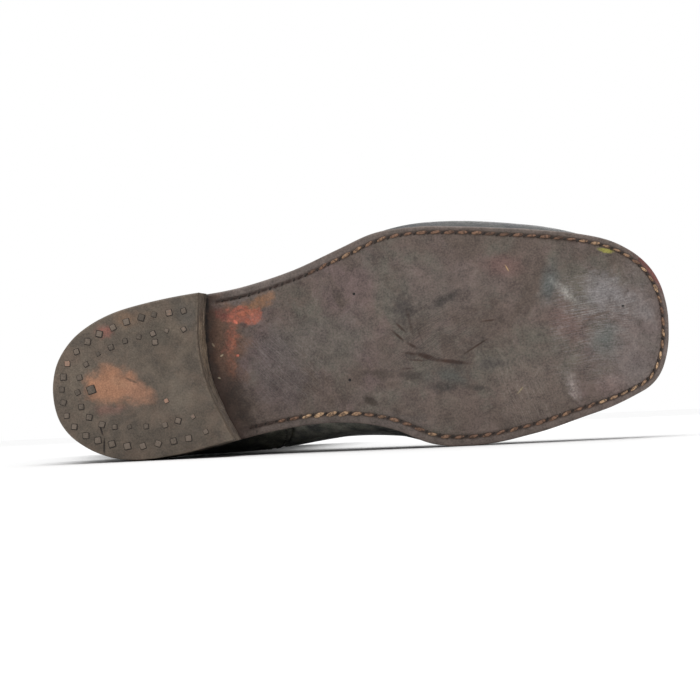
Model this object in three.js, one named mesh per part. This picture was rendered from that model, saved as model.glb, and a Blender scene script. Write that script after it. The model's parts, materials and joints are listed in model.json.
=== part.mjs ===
// Cavalry boot for the right foot, lying on its inner side.
//
// The boot is drawn standing, in millimetres: x runs forward from the back of the heel, y to the
// inner side of the foot, z up from the tread. The last lines lay it down, so that the edge of the
// sole, the edge of the heel and the collar of the shaft touch the surface below.

import * as THREE from "three";
import { ConvexHull } from "three/addons/math/ConvexHull.js";

const { lerp, clamp, smoothstep } = THREE.MathUtils;

// Sole sizes
const soleLength = 302;
const ballWidth = 108;
const outsoleThickness = 6;
const edgeRound = 1.4;
const toeSpring = 11;
const heelRadius = 44;
const toeRadius = 66;
const heelCentre = 3;
const toeCentre = -5;

// Heel sizes
const heelHeight = 28;
const topPieceThickness = 6.4;
const liftCount = 3;
const heelInset = 0.9;
const breastLateral = 76;
const breastMedial = 85.5;
const breastBow = 7;
const breastSetback = 2;

// Welt and insole sizes
const weltThickness = 3;
const weltWidth = 8.5;
const weltRound = 0.7;
const insoleThickness = 2.4;
const insoleRound = 0.6;

// Upper sizes
const upperWall = 2.2;
const overlayThickness = 1.8;
const featherInset = 4.6;
const swellRise = 11;
const ankleRise = 101;
const shaftRise = 363;
const collarDepth = 156;
const collarWidth = 88;
const seamPlace = 113;
const collarRound = 0.6;

// Clearances
const gap = 0.3;
const overlayGap = 0.5;
const insoleClearance = 0.6;
const seamClearance = 0.6;

// Fineness of the faceting
const stations = 64;
const outerSteps = [3, 3, 4, 4, 3, 3, 2, 2, 1, 1, 1];
const innerSteps = [1, 1, 2, 2, 2, 2, 2, 1, 1, 1, 1];

// The bottom of the sole, as shares of the sole length: where the seat of the heel ends, and where
// the flat tread under the ball begins and ends.
const seatEnd = 0.3;
const treadStart = 0.62;
const treadEnd = 0.8;

// Sections of the sole. at: share of the sole length. lateral, medial: half widths from the centre
// line, as shares of the ball width. lateralSwell, medialSwell: how far the upper swells past the
// edge of the sole just above the welt, as shares of the ball width.
const soleSections = [
  { at: 0.03, lateral: 0.223, medial: 0.21, lateralSwell: -0.03, medialSwell: -0.03 },
  { at: 0.1, lateral: 0.339, medial: 0.32, lateralSwell: -0.024, medialSwell: -0.024 },
  { at: 0.19, lateral: 0.38, medial: 0.333, lateralSwell: -0.028, medialSwell: -0.026 },
  { at: 0.3, lateral: 0.394, medial: 0.293, lateralSwell: -0.03, medialSwell: -0.006 },
  { at: 0.4, lateral: 0.436, medial: 0.273, lateralSwell: -0.032, medialSwell: 0.012 },
  { at: 0.48, lateral: 0.497, medial: 0.292, lateralSwell: -0.024, medialSwell: 0.006 },
  { at: 0.54, lateral: 0.542, medial: 0.343, lateralSwell: -0.01, medialSwell: -0.012 },
  { at: 0.6, lateral: 0.545, medial: 0.432, lateralSwell: 0.008, medialSwell: -0.026 },
  { at: 0.67, lateral: 0.523, medial: 0.463, lateralSwell: 0.019, medialSwell: -0.03 },
  { at: 0.76, lateral: 0.478, medial: 0.445, lateralSwell: 0.021, medialSwell: -0.03 },
  { at: 0.85, lateral: 0.426, medial: 0.397, lateralSwell: 0.006, medialSwell: -0.03 },
  { at: 0.93, lateral: 0.346, medial: 0.335, lateralSwell: -0.03, medialSwell: -0.033 },
  { at: 0.975, lateral: 0.237, medial: 0.255, lateralSwell: -0.034, medialSwell: -0.034 },
];

// Rings of the foot, from the featherline up to the ankle. Each runs from the back of the heel to a
// point on the toe or the instep. back, front: ends, as shares of the sole length. backRise,
// frontRise: heights over the seat of the upper, as shares of the ankle rise. follow: how much the
// ring follows the curve of the sole. backCentre, frontCentre: sideways places of the ends, and
// backRadius, frontRadius: their rounds in plan, all as shares of the ball width.
const footRings = [
  { name: "side", back: -0.001, front: 0.974, backRise: 0.228, frontRise: 0.238, follow: 1,
    backCentre: 0.028, frontCentre: -0.046, backRadius: 0.33, frontRadius: 0.51 },
  { name: "toe", back: -0.002, front: 0.924, backRise: 0.446, frontRise: 0.337, follow: 0.85,
    backCentre: 0.019, frontCentre: -0.037, backRadius: 0.31, frontRadius: 0.42 },
  { name: "vamp", back: 0.008, front: 0.805, backRise: 0.644, frontRise: 0.406, follow: 0.65,
    backCentre: 0.009, frontCentre: -0.028, backRadius: 0.31, frontRadius: 0.28 },
  { name: "instep", back: 0.017, front: 0.639, backRise: 0.822, frontRise: 0.525, follow: 0.4,
    backCentre: 0, frontCentre: -0.019, backRadius: 0.33, frontRadius: 0.26 },
  { name: "throat", back: 0.017, front: 0.497, backRise: 1, frontRise: 0.762, follow: 0.2,
    backCentre: 0, frontCentre: -0.014, backRadius: 0.35, frontRadius: 0.28 },
];

// Half widths of the foot rings at five places along them, as shares of the ball width.
const ringPlaces = [0.13, 0.38, 0.52, 0.66, 0.86];
const footWidths = {
  side: { lateral: [0.329, 0.356, 0.458, 0.526, 0.401], medial: [0.292, 0.329, 0.329, 0.419, 0.363] },
  toe: { lateral: [0.298, 0.326, 0.398, 0.454, 0.296], medial: [0.276, 0.345, 0.333, 0.37, 0.259] },
  vamp: { lateral: [0.282, 0.31, 0.343, 0.374, 0.274], medial: [0.273, 0.338, 0.333, 0.32, 0.207] },
  instep: { lateral: [0.278, 0.312, 0.319, 0.312, 0.234], medial: [0.281, 0.341, 0.343, 0.318, 0.219] },
  throat: { lateral: [0.271, 0.328, 0.335, 0.31, 0.201], medial: [0.28, 0.344, 0.355, 0.329, 0.206] },
};

// Rings of the leg, from the ankle up to the collar. middle: share of the sole length. depth, width:
// shares of the collar's depth and width. backRise, frontRise: shares of the way from the ankle rise
// to the shaft rise. centre: sideways place, as a share of the collar's width.
const legRings = [
  { middle: 0.217, depth: 0.827, width: 0.87, backRise: 0.084, frontRise: 0.038, centre: -0.006 },
  { middle: 0.202, depth: 0.846, width: 0.875, backRise: 0.237, frontRise: 0.237, centre: -0.012 },
  { middle: 0.196, depth: 0.917, width: 0.93, backRise: 0.485, frontRise: 0.473, centre: -0.028 },
  { middle: 0.197, depth: 0.965, width: 0.98, backRise: 0.733, frontRise: 0.733, centre: -0.045 },
  { middle: 0.205, depth: 1, width: 1, backRise: 0.954, frontRise: 1, centre: -0.057 },
];

// Section of the leg: half widths at the same five places, as shares of the ring's own half width,
// and the rounds of the calf and the shin, as shares of that half width.
const legSection = { side: [0.72, 0.98, 1, 0.95, 0.66], calfRadius: 0.76, shinRadius: 0.55 };

// Top lines of the vamp and the counter, counted in rings up from the featherline: at the side seam,
// and at the instep or the back of the heel. rows: steps of the faceting.
const vampTop = { seam: 3.3, end: 5.9, rows: 15 };
const counterTop = { seam: 3.1, end: 3.9, rows: 8 };

// Seats, one above the other
const liftThickness = (heelHeight - topPieceThickness - gap) / liftCount - gap;
const weltSeat = outsoleThickness + gap;
const upperSeat = weltSeat + weltThickness + gap;
const heelSeat = heelHeight + upperSeat;
const legRise = shaftRise - ankleRise;

/** Height of the bottom of the sole over the tread, at a place along it. */
function bottomAt(x) {
  const share = x / soleLength;
  const waist = heelHeight * (1 - smoothstep(share, seatEnd, treadStart));
  const toe = clamp((share - treadEnd) / (1 - treadEnd), 0, 1);
  return waist + toeSpring * toe * toe;
}

/** A smooth curve through rows of values, each at its own knot. */
function curveThrough(knots, values) {
  const last = knots.length - 1;
  const slopes = values.map((value, i) => {
    const before = Math.max(i - 1, 0);
    const after = Math.min(i + 1, last);
    return (values[after] - values[before]) / (knots[after] - knots[before]);
  });
  return (t) => {
    let i = 0;
    while (i < last - 1 && t > knots[i + 1]) i += 1;
    const span = knots[i + 1] - knots[i];
    const u = (t - knots[i]) / span;
    const v = 1 - u;
    const ends = (1 + 2 * u) * v * v * values[i] + u * u * (3 - 2 * u) * values[i + 1];
    return ends + span * u * v * (v * slopes[i] - u * slopes[i + 1]);
  };
}

/** The turn round a ring that belongs to a share of the way from its back to its front. */
const turnAt = (share) => Math.acos(1 - 2 * share);

/** The share of the way from back to front that belongs to a turn round a ring. */
const shareAt = (turn) => (1 - Math.cos(turn)) / 2;

/** The same turn, counted up the inner or the outer side from the back of the heel. */
const halfTurn = (turn) => (turn > Math.PI ? 2 * Math.PI - turn : turn);

/** Half width of a ring by turn, from its half widths at some places and its end rounds. */
function roundedSide(places, widths, depth, backRadius, frontRadius) {
  const knots = [0, ...places.map(turnAt), Math.PI];
  const middle = widths.map((width, i) => width / Math.sin(turnAt(places[i])));
  const ends = [backRadius, frontRadius].map((radius) => Math.sqrt((radius * depth) / 2));
  return curveThrough(knots, [ends[0], ...middle, ends[1]]);
}

const soleColumn = (name) => soleSections.map((row) => row[name] * ballWidth);
const solePlaces = soleSections.map((row) => row.at);
const soleSides = ["medial", "lateral"].map((name) =>
  roundedSide(solePlaces, soleColumn(name), soleLength, heelRadius, toeRadius),
);
const swellKnots = [0, ...solePlaces.map(turnAt), Math.PI];
const swellSides = ["medialSwell", "lateralSwell"].map((name) => {
  const column = soleColumn(name);
  return curveThrough(swellKnots, [column[0], ...column, column.at(-1)]);
});

/** Picks the inner or the outer side's curve and reads it at a turn. */
const readSide = (sides, turn) => sides[turn > Math.PI ? 1 : 0](halfTurn(turn));

/** Edge of the sole in plan. */
function soleEdge(turn) {
  const share = shareAt(turn);
  const centre = lerp(heelCentre, toeCentre, share);
  return new THREE.Vector2(soleLength * share, centre + readSide(soleSides, turn) * Math.sin(turn));
}

/** A line a set way inside the edge of the sole, in plan. */
function insetEdge(turn, inset) {
  const step = 1e-4;
  const round = 2 * Math.PI;
  const ahead = soleEdge((turn + step) % round);
  const behind = soleEdge((turn - step + round) % round);
  const along = ahead.sub(behind).normalize();
  return soleEdge(turn).add(new THREE.Vector2(along.y, -along.x).multiplyScalar(inset));
}

/** A point over the bottom of the sole, a set way inside its edge. */
function onSole(turn, inset, rise) {
  const plan = insetEdge(turn, inset);
  return new THREE.Vector3(plan.x, plan.y, bottomAt(plan.x) + rise);
}

/** A ring of the foot as a function of the turn. */
function footRing(row) {
  const back = row.back * soleLength;
  const front = row.front * soleLength;
  const sides = ["medial", "lateral"].map((name) => {
    const widths = footWidths[row.name][name].map((width) => width * ballWidth);
    const rounds = [row.backRadius * ballWidth, row.frontRadius * ballWidth];
    return roundedSide(ringPlaces, widths, front - back, ...rounds);
  });
  return (turn) => {
    const share = shareAt(turn);
    const x = lerp(back, front, share);
    const centre = lerp(row.backCentre, row.frontCentre, share) * ballWidth;
    const floor = lerp(heelSeat, bottomAt(x) + upperSeat, row.follow);
    const rise = lerp(row.backRise, row.frontRise, share) * ankleRise;
    return new THREE.Vector3(x, centre + readSide(sides, turn) * Math.sin(turn), floor + rise);
  };
}

/** A ring of the leg as a function of the turn. */
function legRing(row) {
  const depth = row.depth * collarDepth;
  const half = (row.width * collarWidth) / 2;
  const back = row.middle * soleLength - depth / 2;
  const widths = legSection.side.map((width) => width * half);
  const rounds = [legSection.calfRadius * half, legSection.shinRadius * half];
  const side = roundedSide(ringPlaces, widths, depth, ...rounds);
  return (turn) => {
    const share = shareAt(turn);
    const rise = ankleRise + lerp(row.backRise, row.frontRise, share) * legRise;
    const y = row.centre * collarWidth + side(halfTurn(turn)) * Math.sin(turn);
    return new THREE.Vector3(back + depth * share, y, heelSeat + rise);
  };
}

const rings = [
  (turn) => onSole(turn, featherInset, upperSeat),
  (turn) => onSole(turn, -readSide(swellSides, turn), upperSeat + swellRise),
  ...footRings.map(footRing),
  ...legRings.map(legRing),
];
const topRing = rings.length - 1;
const meridians = new Map();

/** The line up the upper at one turn, through all its rings. */
function meridian(turn) {
  const key = turn.toFixed(9);
  if (!meridians.has(key)) {
    const points = rings.map((ring) => ring(turn));
    meridians.set(key, new THREE.CatmullRomCurve3(points, false, "centripetal"));
  }
  return meridians.get(key);
}

const lastAt = (turn, level) => meridian(turn).getPoint(clamp(level / topRing, 0, 1));

/**
 * A point on the form of the upper, moved out of it by an offset. At both edges the offset is level,
 * and at the lower one it keeps to the curve of the sole.
 */
function upperAt(turn, level, offset) {
  const turnStep = 1e-3;
  const levelStep = 1e-3;
  const round = 2 * Math.PI;
  const low = Math.max(level - levelStep, 0);
  const high = Math.min(level + levelStep, topRing);
  const upward = lastAt(turn, high).sub(lastAt(turn, low));
  const ahead = lastAt((turn + turnStep) % round, level);
  const sideways = ahead.sub(lastAt((turn - turnStep + round) % round, level));
  const out = upward.cross(sideways).normalize();
  const free = smoothstep(level, 0, 1);
  out.z *= free * smoothstep(topRing - level, 0, 1);
  const start = lastAt(turn, level);
  const point = start.clone().addScaledVector(out.normalize(), offset);
  point.z += (1 - free) * (bottomAt(point.x) - bottomAt(start.x));
  return point;
}

/** Turns of all stations that lie between two turns, with the two turns as ends. */
function turnsBetween(start, end) {
  const step = (2 * Math.PI) / stations;
  const between = [];
  for (let i = Math.floor(start / step) + 1; i * step < end; i += 1) {
    const clear = i * step - start > step / 4 && end - i * step > step / 4;
    if (clear) between.push(i * step);
  }
  return [start, ...between, end];
}

/** Counts up from the featherline, with a number of steps in each space between two rings. */
function levelsBy(steps) {
  const levels = [0];
  steps.forEach((count, ring) => {
    for (let i = 1; i <= count; i += 1) levels.push(ring + i / count);
  });
  return levels;
}

const allTurns = Array.from({ length: stations }, (_, i) => (2 * Math.PI * i) / stations);
const wrapTurn = (turn) => (turn + 2 * Math.PI) % (2 * Math.PI);

/** A mesh from points and corner numbers, with its faces turned outward. */
function solid(name, points, corners, material) {
  let volume = 0;
  for (let i = 0; i < corners.length; i += 3) {
    const [a, b, c] = [0, 1, 2].map((k) => points[corners[i + k]]);
    volume += a.dot(b.clone().cross(c));
  }
  const index = volume < 0 ? corners.toReversed() : corners;
  const geometry = new THREE.BufferGeometry().setFromPoints(points);
  geometry.setIndex(index);
  geometry.computeVertexNormals();
  const mesh = new THREE.Mesh(geometry, material);
  mesh.name = name;
  return mesh;
}

/** The two triangles between two steps of two neighbouring rows. */
const patch = (a, b, c, d) => [a, b, c, a, c, d];

/** A body of closed rows, each joined to the next and the last joined to the first. */
function ringBody(name, rows, material) {
  const count = rows[0].length;
  const corners = rows.flatMap((_, r) => {
    const next = ((r + 1) % rows.length) * count;
    return allPlaces(count).flatMap((i) => {
      const j = (i + 1) % count;
      return patch(r * count + i, r * count + j, next + j, next + i);
    });
  });
  return solid(name, rows.flat(), corners, material);
}

const allPlaces = (count) => Array.from({ length: count }, (_, i) => i);

/** A body of closed rows, one above the other, closed below and above by the given cover. */
function stackBody(name, rows, cover, material) {
  const count = rows[0].length;
  const corners = rows.slice(1).flatMap((_, r) =>
    allPlaces(count).flatMap((i) => {
      const j = (i + 1) % count;
      const low = r * count;
      return patch(low + i, low + j, low + count + j, low + count + i);
    }),
  );
  const top = (rows.length - 1) * count;
  const faces = cover(rows[0]);
  const below = faces.flatMap(([a, b, c]) => [c, b, a]);
  const above = faces.flatMap((face) => face.map((corner) => corner + top));
  return solid(name, rows.flat(), [...corners, ...below, ...above], material);
}

/** Covers a ring with strips from its inner to its outer side, so that it may curve lengthways. */
function stripCover(ring) {
  const count = ring.length;
  const faces = [];
  for (let i = 0; i < count / 2; i += 1) {
    const [a, b] = [i, i + 1];
    const [c, d] = [count - i - 1, (count - i) % count];
    if (b !== c) faces.push([a, b, c]);
    if (a !== d) faces.push([a, c, d]);
  }
  return faces;
}

/** Covers a level ring, in the ring's own direction. */
function levelCover(ring) {
  const plan = ring.map((point) => new THREE.Vector2(point.x, point.y));
  const faces = THREE.ShapeUtils.triangulateShape(plan, []);
  return THREE.ShapeUtils.isClockWise(plan) ? faces.map((face) => face.toReversed()) : faces;
}

/** A body swept along rows that each hold the same closed section, with both ends covered. */
function bandBody(name, rows, material) {
  const count = rows[0].length;
  const fan = allPlaces(count - 2).map((i) => [0, i + 1, i + 2]);
  return stackBody(name, rows, () => fan, material);
}

/** A sheet between an outer and an inner grid of points, closed round its rim. */
function sheetBody(name, outer, inner, material) {
  const rows = outer.length;
  const columns = outer[0].length;
  const shift = rows * columns;
  const corners = [];
  for (let r = 0; r < rows - 1; r += 1) {
    for (let c = 0; c < columns - 1; c += 1) {
      const a = r * columns + c;
      corners.push(...patch(a, a + 1, a + columns + 1, a + columns));
      corners.push(...patch(a + columns, a + columns + 1, a + 1, a).map((corner) => corner + shift));
    }
  }
  const rim = [
    ...allPlaces(columns - 1),
    ...allPlaces(rows - 1).map((r) => r * columns + columns - 1),
    ...allPlaces(columns - 1).map((c) => rows * columns - 1 - c),
    ...allPlaces(rows - 1).map((r) => (rows - 1 - r) * columns),
  ];
  rim.forEach((corner, i) => {
    const next = rim[(i + 1) % rim.length];
    corners.push(...patch(corner, corner + shift, next + shift, next));
  });
  return solid(name, [...outer.flat(), ...inner.flat()], corners, material);
}

const leather = (color, roughness) =>
  new THREE.MeshStandardMaterial({ color, roughness, metalness: 0 });
const soleLeather = leather(0x5b504a, 0.62);
const heelLeather = leather(0x62564a, 0.68);
const edgeLeather = leather(0x4a4641, 0.6);
const upperLeather = leather(0x1d211f, 0.55);
const vampLeather = leather(0x23272a, 0.5);
const insoleLeather = leather(0x7a6248, 0.8);

/** The outsole, one plate from the toe to the back of the heel. */
function outsole() {
  const section = [
    { inset: edgeRound, rise: 0 },
    { inset: 0, rise: edgeRound },
    { inset: 0, rise: outsoleThickness - edgeRound },
    { inset: edgeRound / 2, rise: outsoleThickness },
  ];
  const rows = section.map(({ inset, rise }) => allTurns.map((turn) => onSole(turn, inset, rise)));
  return stackBody("outsole", rows, stripCover, soleLeather);
}

/** Turns at which the front of the heel leaves the inner and the outer edge of the sole. */
function breastTurns(height) {
  const forward = (breastSetback * height) / heelHeight;
  const medial = turnAt((breastMedial + forward) / soleLength);
  return [medial, -turnAt((breastLateral + forward) / soleLength)];
}

/** A level ring round one layer of the heel, with its curved front. */
function heelRing(height) {
  const [medial, lateral] = breastTurns(height);
  const inset = heelInset * (1 - height / heelHeight);
  const arc = turnsBetween(lateral, medial).map((turn) => insetEdge(wrapTurn(turn), inset));
  const breastSteps = 10;
  const front = allPlaces(breastSteps - 1).map((i) => {
    const share = (i + 1) / breastSteps;
    const point = arc.at(-1).clone().lerp(arc[0], share);
    point.x -= breastBow * Math.sin(Math.PI * share);
    return point;
  });
  return [...arc, ...front].map((point) => new THREE.Vector3(point.x, point.y, height));
}

/** One layer of the heel between two heights. */
function heelLayer(name, bottom, top) {
  return stackBody(name, [heelRing(bottom), heelRing(top)], levelCover, heelLeather);
}

/** The layers of the heel: the top piece on the ground and the lifts over it. */
function heelStack() {
  const lifts = allPlaces(liftCount).map((i) => {
    const bottom = topPieceThickness + gap + i * (liftThickness + gap);
    return heelLayer(`heel_lift_${i + 1}`, bottom, bottom + liftThickness);
  });
  return [heelLayer("top_piece", 0, topPieceThickness), ...lifts];
}

/** A strip on top of the outsole's edge, between two turns. */
function weltStrip(name, start, end) {
  const section = [
    { inset: weltWidth, rise: weltSeat },
    { inset: weltRound, rise: weltSeat },
    { inset: 0, rise: weltSeat + weltRound },
    { inset: 0, rise: weltSeat + weltThickness - weltRound },
    { inset: weltRound, rise: weltSeat + weltThickness },
    { inset: weltWidth, rise: weltSeat + weltThickness },
  ];
  const rows = turnsBetween(start, end).map((turn) =>
    section.map(({ inset, rise }) => onSole(wrapTurn(turn), inset, rise)),
  );
  return bandBody(name, rows, edgeLeather);
}

/** The insole, let into the welt and lying over it up to the upper. */
function insole() {
  const inside = weltWidth + gap;
  const over = featherInset + upperWall + insoleClearance;
  const section = [
    { inset: inside, rise: weltSeat },
    { inset: inside, rise: upperSeat },
    { inset: over, rise: upperSeat },
    { inset: over, rise: upperSeat + insoleThickness - insoleRound },
    { inset: over + insoleRound, rise: upperSeat + insoleThickness },
  ];
  const rows = section.map(({ inset, rise }) => allTurns.map((turn) => onSole(turn, inset, rise)));
  return stackBody("insole", rows, stripCover, insoleLeather);
}

/** The upper with its shaft: one wall, open under the foot and at the collar. */
function upper() {
  const outer = levelsBy(outerSteps).map((level) => allTurns.map((turn) => upperAt(turn, level, 0)));
  const inner = levelsBy(innerSteps).map((level) =>
    allTurns.map((turn) => upperAt(turn, level, -upperWall)),
  );
  const brim = allTurns.map((turn) => {
    const point = upperAt(turn, topRing, -upperWall / 2);
    return point.setZ(point.z + collarRound);
  });
  return ringBody("upper", [...outer, brim, ...inner.reverse()], upperLeather);
}

/** A piece of leather over the upper, from the welt up to a top line. */
function overlay(name, start, end, topLine, rows, material) {
  const turns = turnsBetween(start, end);
  const sheet = (offset) =>
    allPlaces(rows + 1).map((row) =>
      turns.map((turn) => upperAt(wrapTurn(turn), (topLine(turn) * row) / rows, offset)),
    );
  const grids = [sheet(overlayGap + overlayThickness), sheet(overlayGap)];
  return sheetBody(name, ...grids, material);
}

/** The vamp, over the toe and the instep back to the side seams. */
function vamp() {
  const start = turnAt((seamPlace + seamClearance / 2) / soleLength);
  const topLine = (turn) => {
    const share = (halfTurn(turn) - start) / (Math.PI - start);
    return lerp(vampTop.seam, vampTop.end, Math.sin((share * Math.PI) / 2));
  };
  return overlay("vamp", start, 2 * Math.PI - start, topLine, vampTop.rows, vampLeather);
}

/** The counter, round the heel forward to the side seams. */
function counter() {
  const end = turnAt((seamPlace - seamClearance / 2) / soleLength);
  const topLine = (turn) => {
    const share = 1 - Math.abs(turn) / end;
    return lerp(counterTop.seam, counterTop.end, Math.sin((share * Math.PI) / 2));
  };
  return overlay("counter", -end, end, topLine, counterTop.rows, upperLeather);
}

/** All pieces of the standing boot. */
function standingBoot() {
  const boot = new THREE.Group();
  const [medial, lateral] = breastTurns(heelHeight);
  const endGap = gap / soleLength;
  boot.add(outsole(), ...heelStack(), insole(), upper(), vamp(), counter());
  boot.add(weltStrip("welt", medial + endGap, 2 * Math.PI + lateral - endGap));
  boot.add(weltStrip("heel_rand", lateral + endGap, medial - endGap));
  return boot;
}

/** Every corner of the boot, as it lies in the world. */
function cornersOf(boot) {
  boot.updateMatrixWorld(true);
  return boot.children.flatMap((mesh) => {
    const place = mesh.geometry.getAttribute("position");
    return allPlaces(place.count).map((i) =>
      new THREE.Vector3().fromBufferAttribute(place, i).applyMatrix4(mesh.matrixWorld),
    );
  });
}

/** The middle of the boot's weight, with all its leather taken as equally heavy. */
function weightMiddle(boot) {
  const sum = new THREE.Vector3();
  let volume = 0;
  boot.children.forEach(({ geometry }) => {
    const place = geometry.getAttribute("position");
    const corners = geometry.getIndex().array;
    for (let i = 0; i < corners.length; i += 3) {
      const [a, b, c] = [0, 1, 2].map((k) =>
        new THREE.Vector3().fromBufferAttribute(place, corners[i + k]),
      );
      const part = a.dot(b.clone().cross(c)) / 6;
      volume += part;
      sum.addScaledVector(a.add(b).add(c), part / 4);
    }
  });
  return sum.divideScalar(volume);
}

/** The way that faces down when the boot lies on its inner side, on the three corners below it. */
function restingSide(boot) {
  const middle = weightMiddle(boot);
  const reach = ({ normal, constant }) =>
    normal.y > 0 ? (constant - normal.dot(middle)) / normal.y : Infinity;
  const { faces } = new ConvexHull().setFromPoints(cornersOf(boot));
  return faces.reduce((best, face) => (reach(face) < reach(best) ? face : best)).normal;
}

/** The boot laid down: inner side below, sole to the front of the view, toe to the right. */
function lyingBoot() {
  const boot = standingBoot();
  const down = restingSide(boot);
  const side = new THREE.Quaternion().setFromUnitVectors(down, new THREE.Vector3(0, 1, 0));
  const lay = new THREE.Quaternion().setFromAxisAngle(new THREE.Vector3(1, 0, 0), -Math.PI / 2);
  boot.quaternion.copy(lay.multiply(side));
  const box = new THREE.Box3().setFromPoints(cornersOf(boot));
  const middle = box.getCenter(new THREE.Vector3());
  boot.position.set(-middle.x, -middle.y, -box.min.z);
  const part = new THREE.Group();
  part.add(boot);
  return part;
}

export default lyingBoot();
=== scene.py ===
"""A worn cavalry boot for the right foot, lying on its inner side on a pale floor.

Shoe places are in millimetres: x runs forward from the back of the heel, y to the inner side of the
foot, z up from the tread. The boot's place in the frame comes from its two tread faces.
"""

from __future__ import annotations

import json
import logging
import math
from dataclasses import dataclass, field
from enum import Enum
from functools import cache, partial
from typing import Callable, Sequence

import bmesh
import bpy
import numpy as np
from mathutils import Matrix, Vector


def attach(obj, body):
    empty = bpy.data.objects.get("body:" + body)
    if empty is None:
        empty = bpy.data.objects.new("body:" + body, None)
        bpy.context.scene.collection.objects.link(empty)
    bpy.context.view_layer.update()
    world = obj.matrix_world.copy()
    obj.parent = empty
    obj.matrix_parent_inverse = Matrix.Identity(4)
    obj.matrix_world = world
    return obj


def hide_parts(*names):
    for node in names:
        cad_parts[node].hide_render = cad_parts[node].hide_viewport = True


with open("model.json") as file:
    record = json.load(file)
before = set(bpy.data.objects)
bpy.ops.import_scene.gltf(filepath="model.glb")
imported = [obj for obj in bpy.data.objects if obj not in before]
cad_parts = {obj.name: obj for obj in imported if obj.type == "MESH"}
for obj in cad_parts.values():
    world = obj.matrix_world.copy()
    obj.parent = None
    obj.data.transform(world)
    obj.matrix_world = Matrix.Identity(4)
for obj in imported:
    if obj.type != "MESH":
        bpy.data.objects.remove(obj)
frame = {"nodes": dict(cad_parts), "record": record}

LOG = logging.getLogger("boot")
MM = 0.001
# The lowest that a corner lies over the floor, in millimetres.
LEAST_RISE = 0.05
# Waves to a millimetre of the two noises that fray and speckle the marks.
COARSE, SPECKS = 0.3, 0.5
ROUND = 2 * math.pi
Colour = tuple[float, float, float]
Array = np.ndarray


class Side(Enum):
    """A side of the foot."""

    MEDIAL = 1
    LATERAL = -1


def smoothstep(value: Array | float, low: float, high: float) -> Array:
    """Rises smoothly from 0 at low to 1 at high."""
    share = np.clip((np.asarray(value, float) - low) / (high - low), 0, 1)
    return share * share * (3 - 2 * share)


def between(value: Array, start: float, end: float, soft: float) -> Array:
    """Rises to 1 behind the start and falls to 0 before the end, each over a soft stretch."""
    return smoothstep(value, start, start + soft) * (1 - smoothstep(value, end - soft, end))


def mix(a: Array | float, b: Array | float, share: Array | float) -> Array:
    """Goes from a to b."""
    return np.asarray(a) + (np.asarray(b) - np.asarray(a)) * share


def ripple(
    place: Array, seed: int, waves: int = 7, longest: float = 1.0, closed: bool = False
) -> Array:
    """A smooth made-up unevenness between about -1 and 1.

    Args:
        place: Where it is read.
        seed: Number that the unevenness comes from.
        waves: How many waves are added up.
        longest: Length of the longest wave, in the units of place.
        closed: Whether it comes back to itself after a full turn.

    Returns:
        The unevenness at each place.
    """
    draw = np.random.default_rng(seed)
    total = np.zeros_like(np.asarray(place, float))
    for wave in range(waves):
        pace = ROUND / longest * (1 + wave * 0.83)
        pace = max(1, round(pace)) if closed else pace
        total += np.sin(place * pace + draw.uniform(0, ROUND)) / (1 + wave * 0.6)
    return total / 2.4


def curve_through(knots: Sequence[float], values: Sequence[float]) -> Callable[[Array], Array]:
    """A smooth curve through rows of values, each at its own knot.

    Args:
        knots: Where each row of values lies, in rising order.
        values: The rows.

    Returns:
        The curve, as a function of the place.
    """
    knot, value = np.asarray(knots, float), np.asarray(values, float)
    before = np.maximum(np.arange(len(knot)) - 1, 0)
    after = np.minimum(np.arange(len(knot)) + 1, len(knot) - 1)
    slope = (value[after] - value[before]) / (knot[after] - knot[before])

    def read(place: Array) -> Array:
        """Reads the curve.

        Args:
            place: Where it is read.

        Returns:
            The values there.
        """
        i = np.clip(np.searchsorted(knot, place, side="left") - 1, 0, len(knot) - 2)
        span = knot[i + 1] - knot[i]
        u = (place - knot[i]) / span
        v = 1 - u
        ends = (1 + 2 * u) * v * v * value[i] + u * u * (3 - 2 * u) * value[i + 1]
        return ends + span * u * v * (v * slope[i] - u * slope[i + 1])

    return read


def turn_at(share: float) -> float:
    """The turn round a ring that belongs to a share of the way from its back to its front."""
    return math.acos(1 - 2 * share)


def share_at(turn: Array) -> Array:
    """The share of the way from back to front that belongs to a turn round a ring."""
    return (1 - np.cos(turn)) / 2


def half_turn(turn: Array) -> Array:
    """The same turn, counted up the inner or the outer side from the back."""
    return np.where(turn > math.pi, ROUND - turn, turn)


def rounded_side(
    places: Sequence[float], widths: Sequence[float], depth: float, back: float, front: float
) -> Callable[[Array], Array]:
    """Half width of a ring by turn, from half widths at some places and its two end rounds.

    Args:
        places: Shares of the way from its back to its front.
        widths: Half width at each place.
        depth: Its length from back to front.
        back: Radius of its back end.
        front: Radius of its front end.

    Returns:
        The half width, as a function of the turn.
    """
    knots = [0, *(turn_at(place) for place in places), math.pi]
    middle = [width / math.sin(turn_at(place)) for place, width in zip(places, widths)]
    ends = [math.sqrt(radius * depth / 2) for radius in (back, front)]
    return curve_through(knots, [ends[0], *middle, ends[1]])


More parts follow.
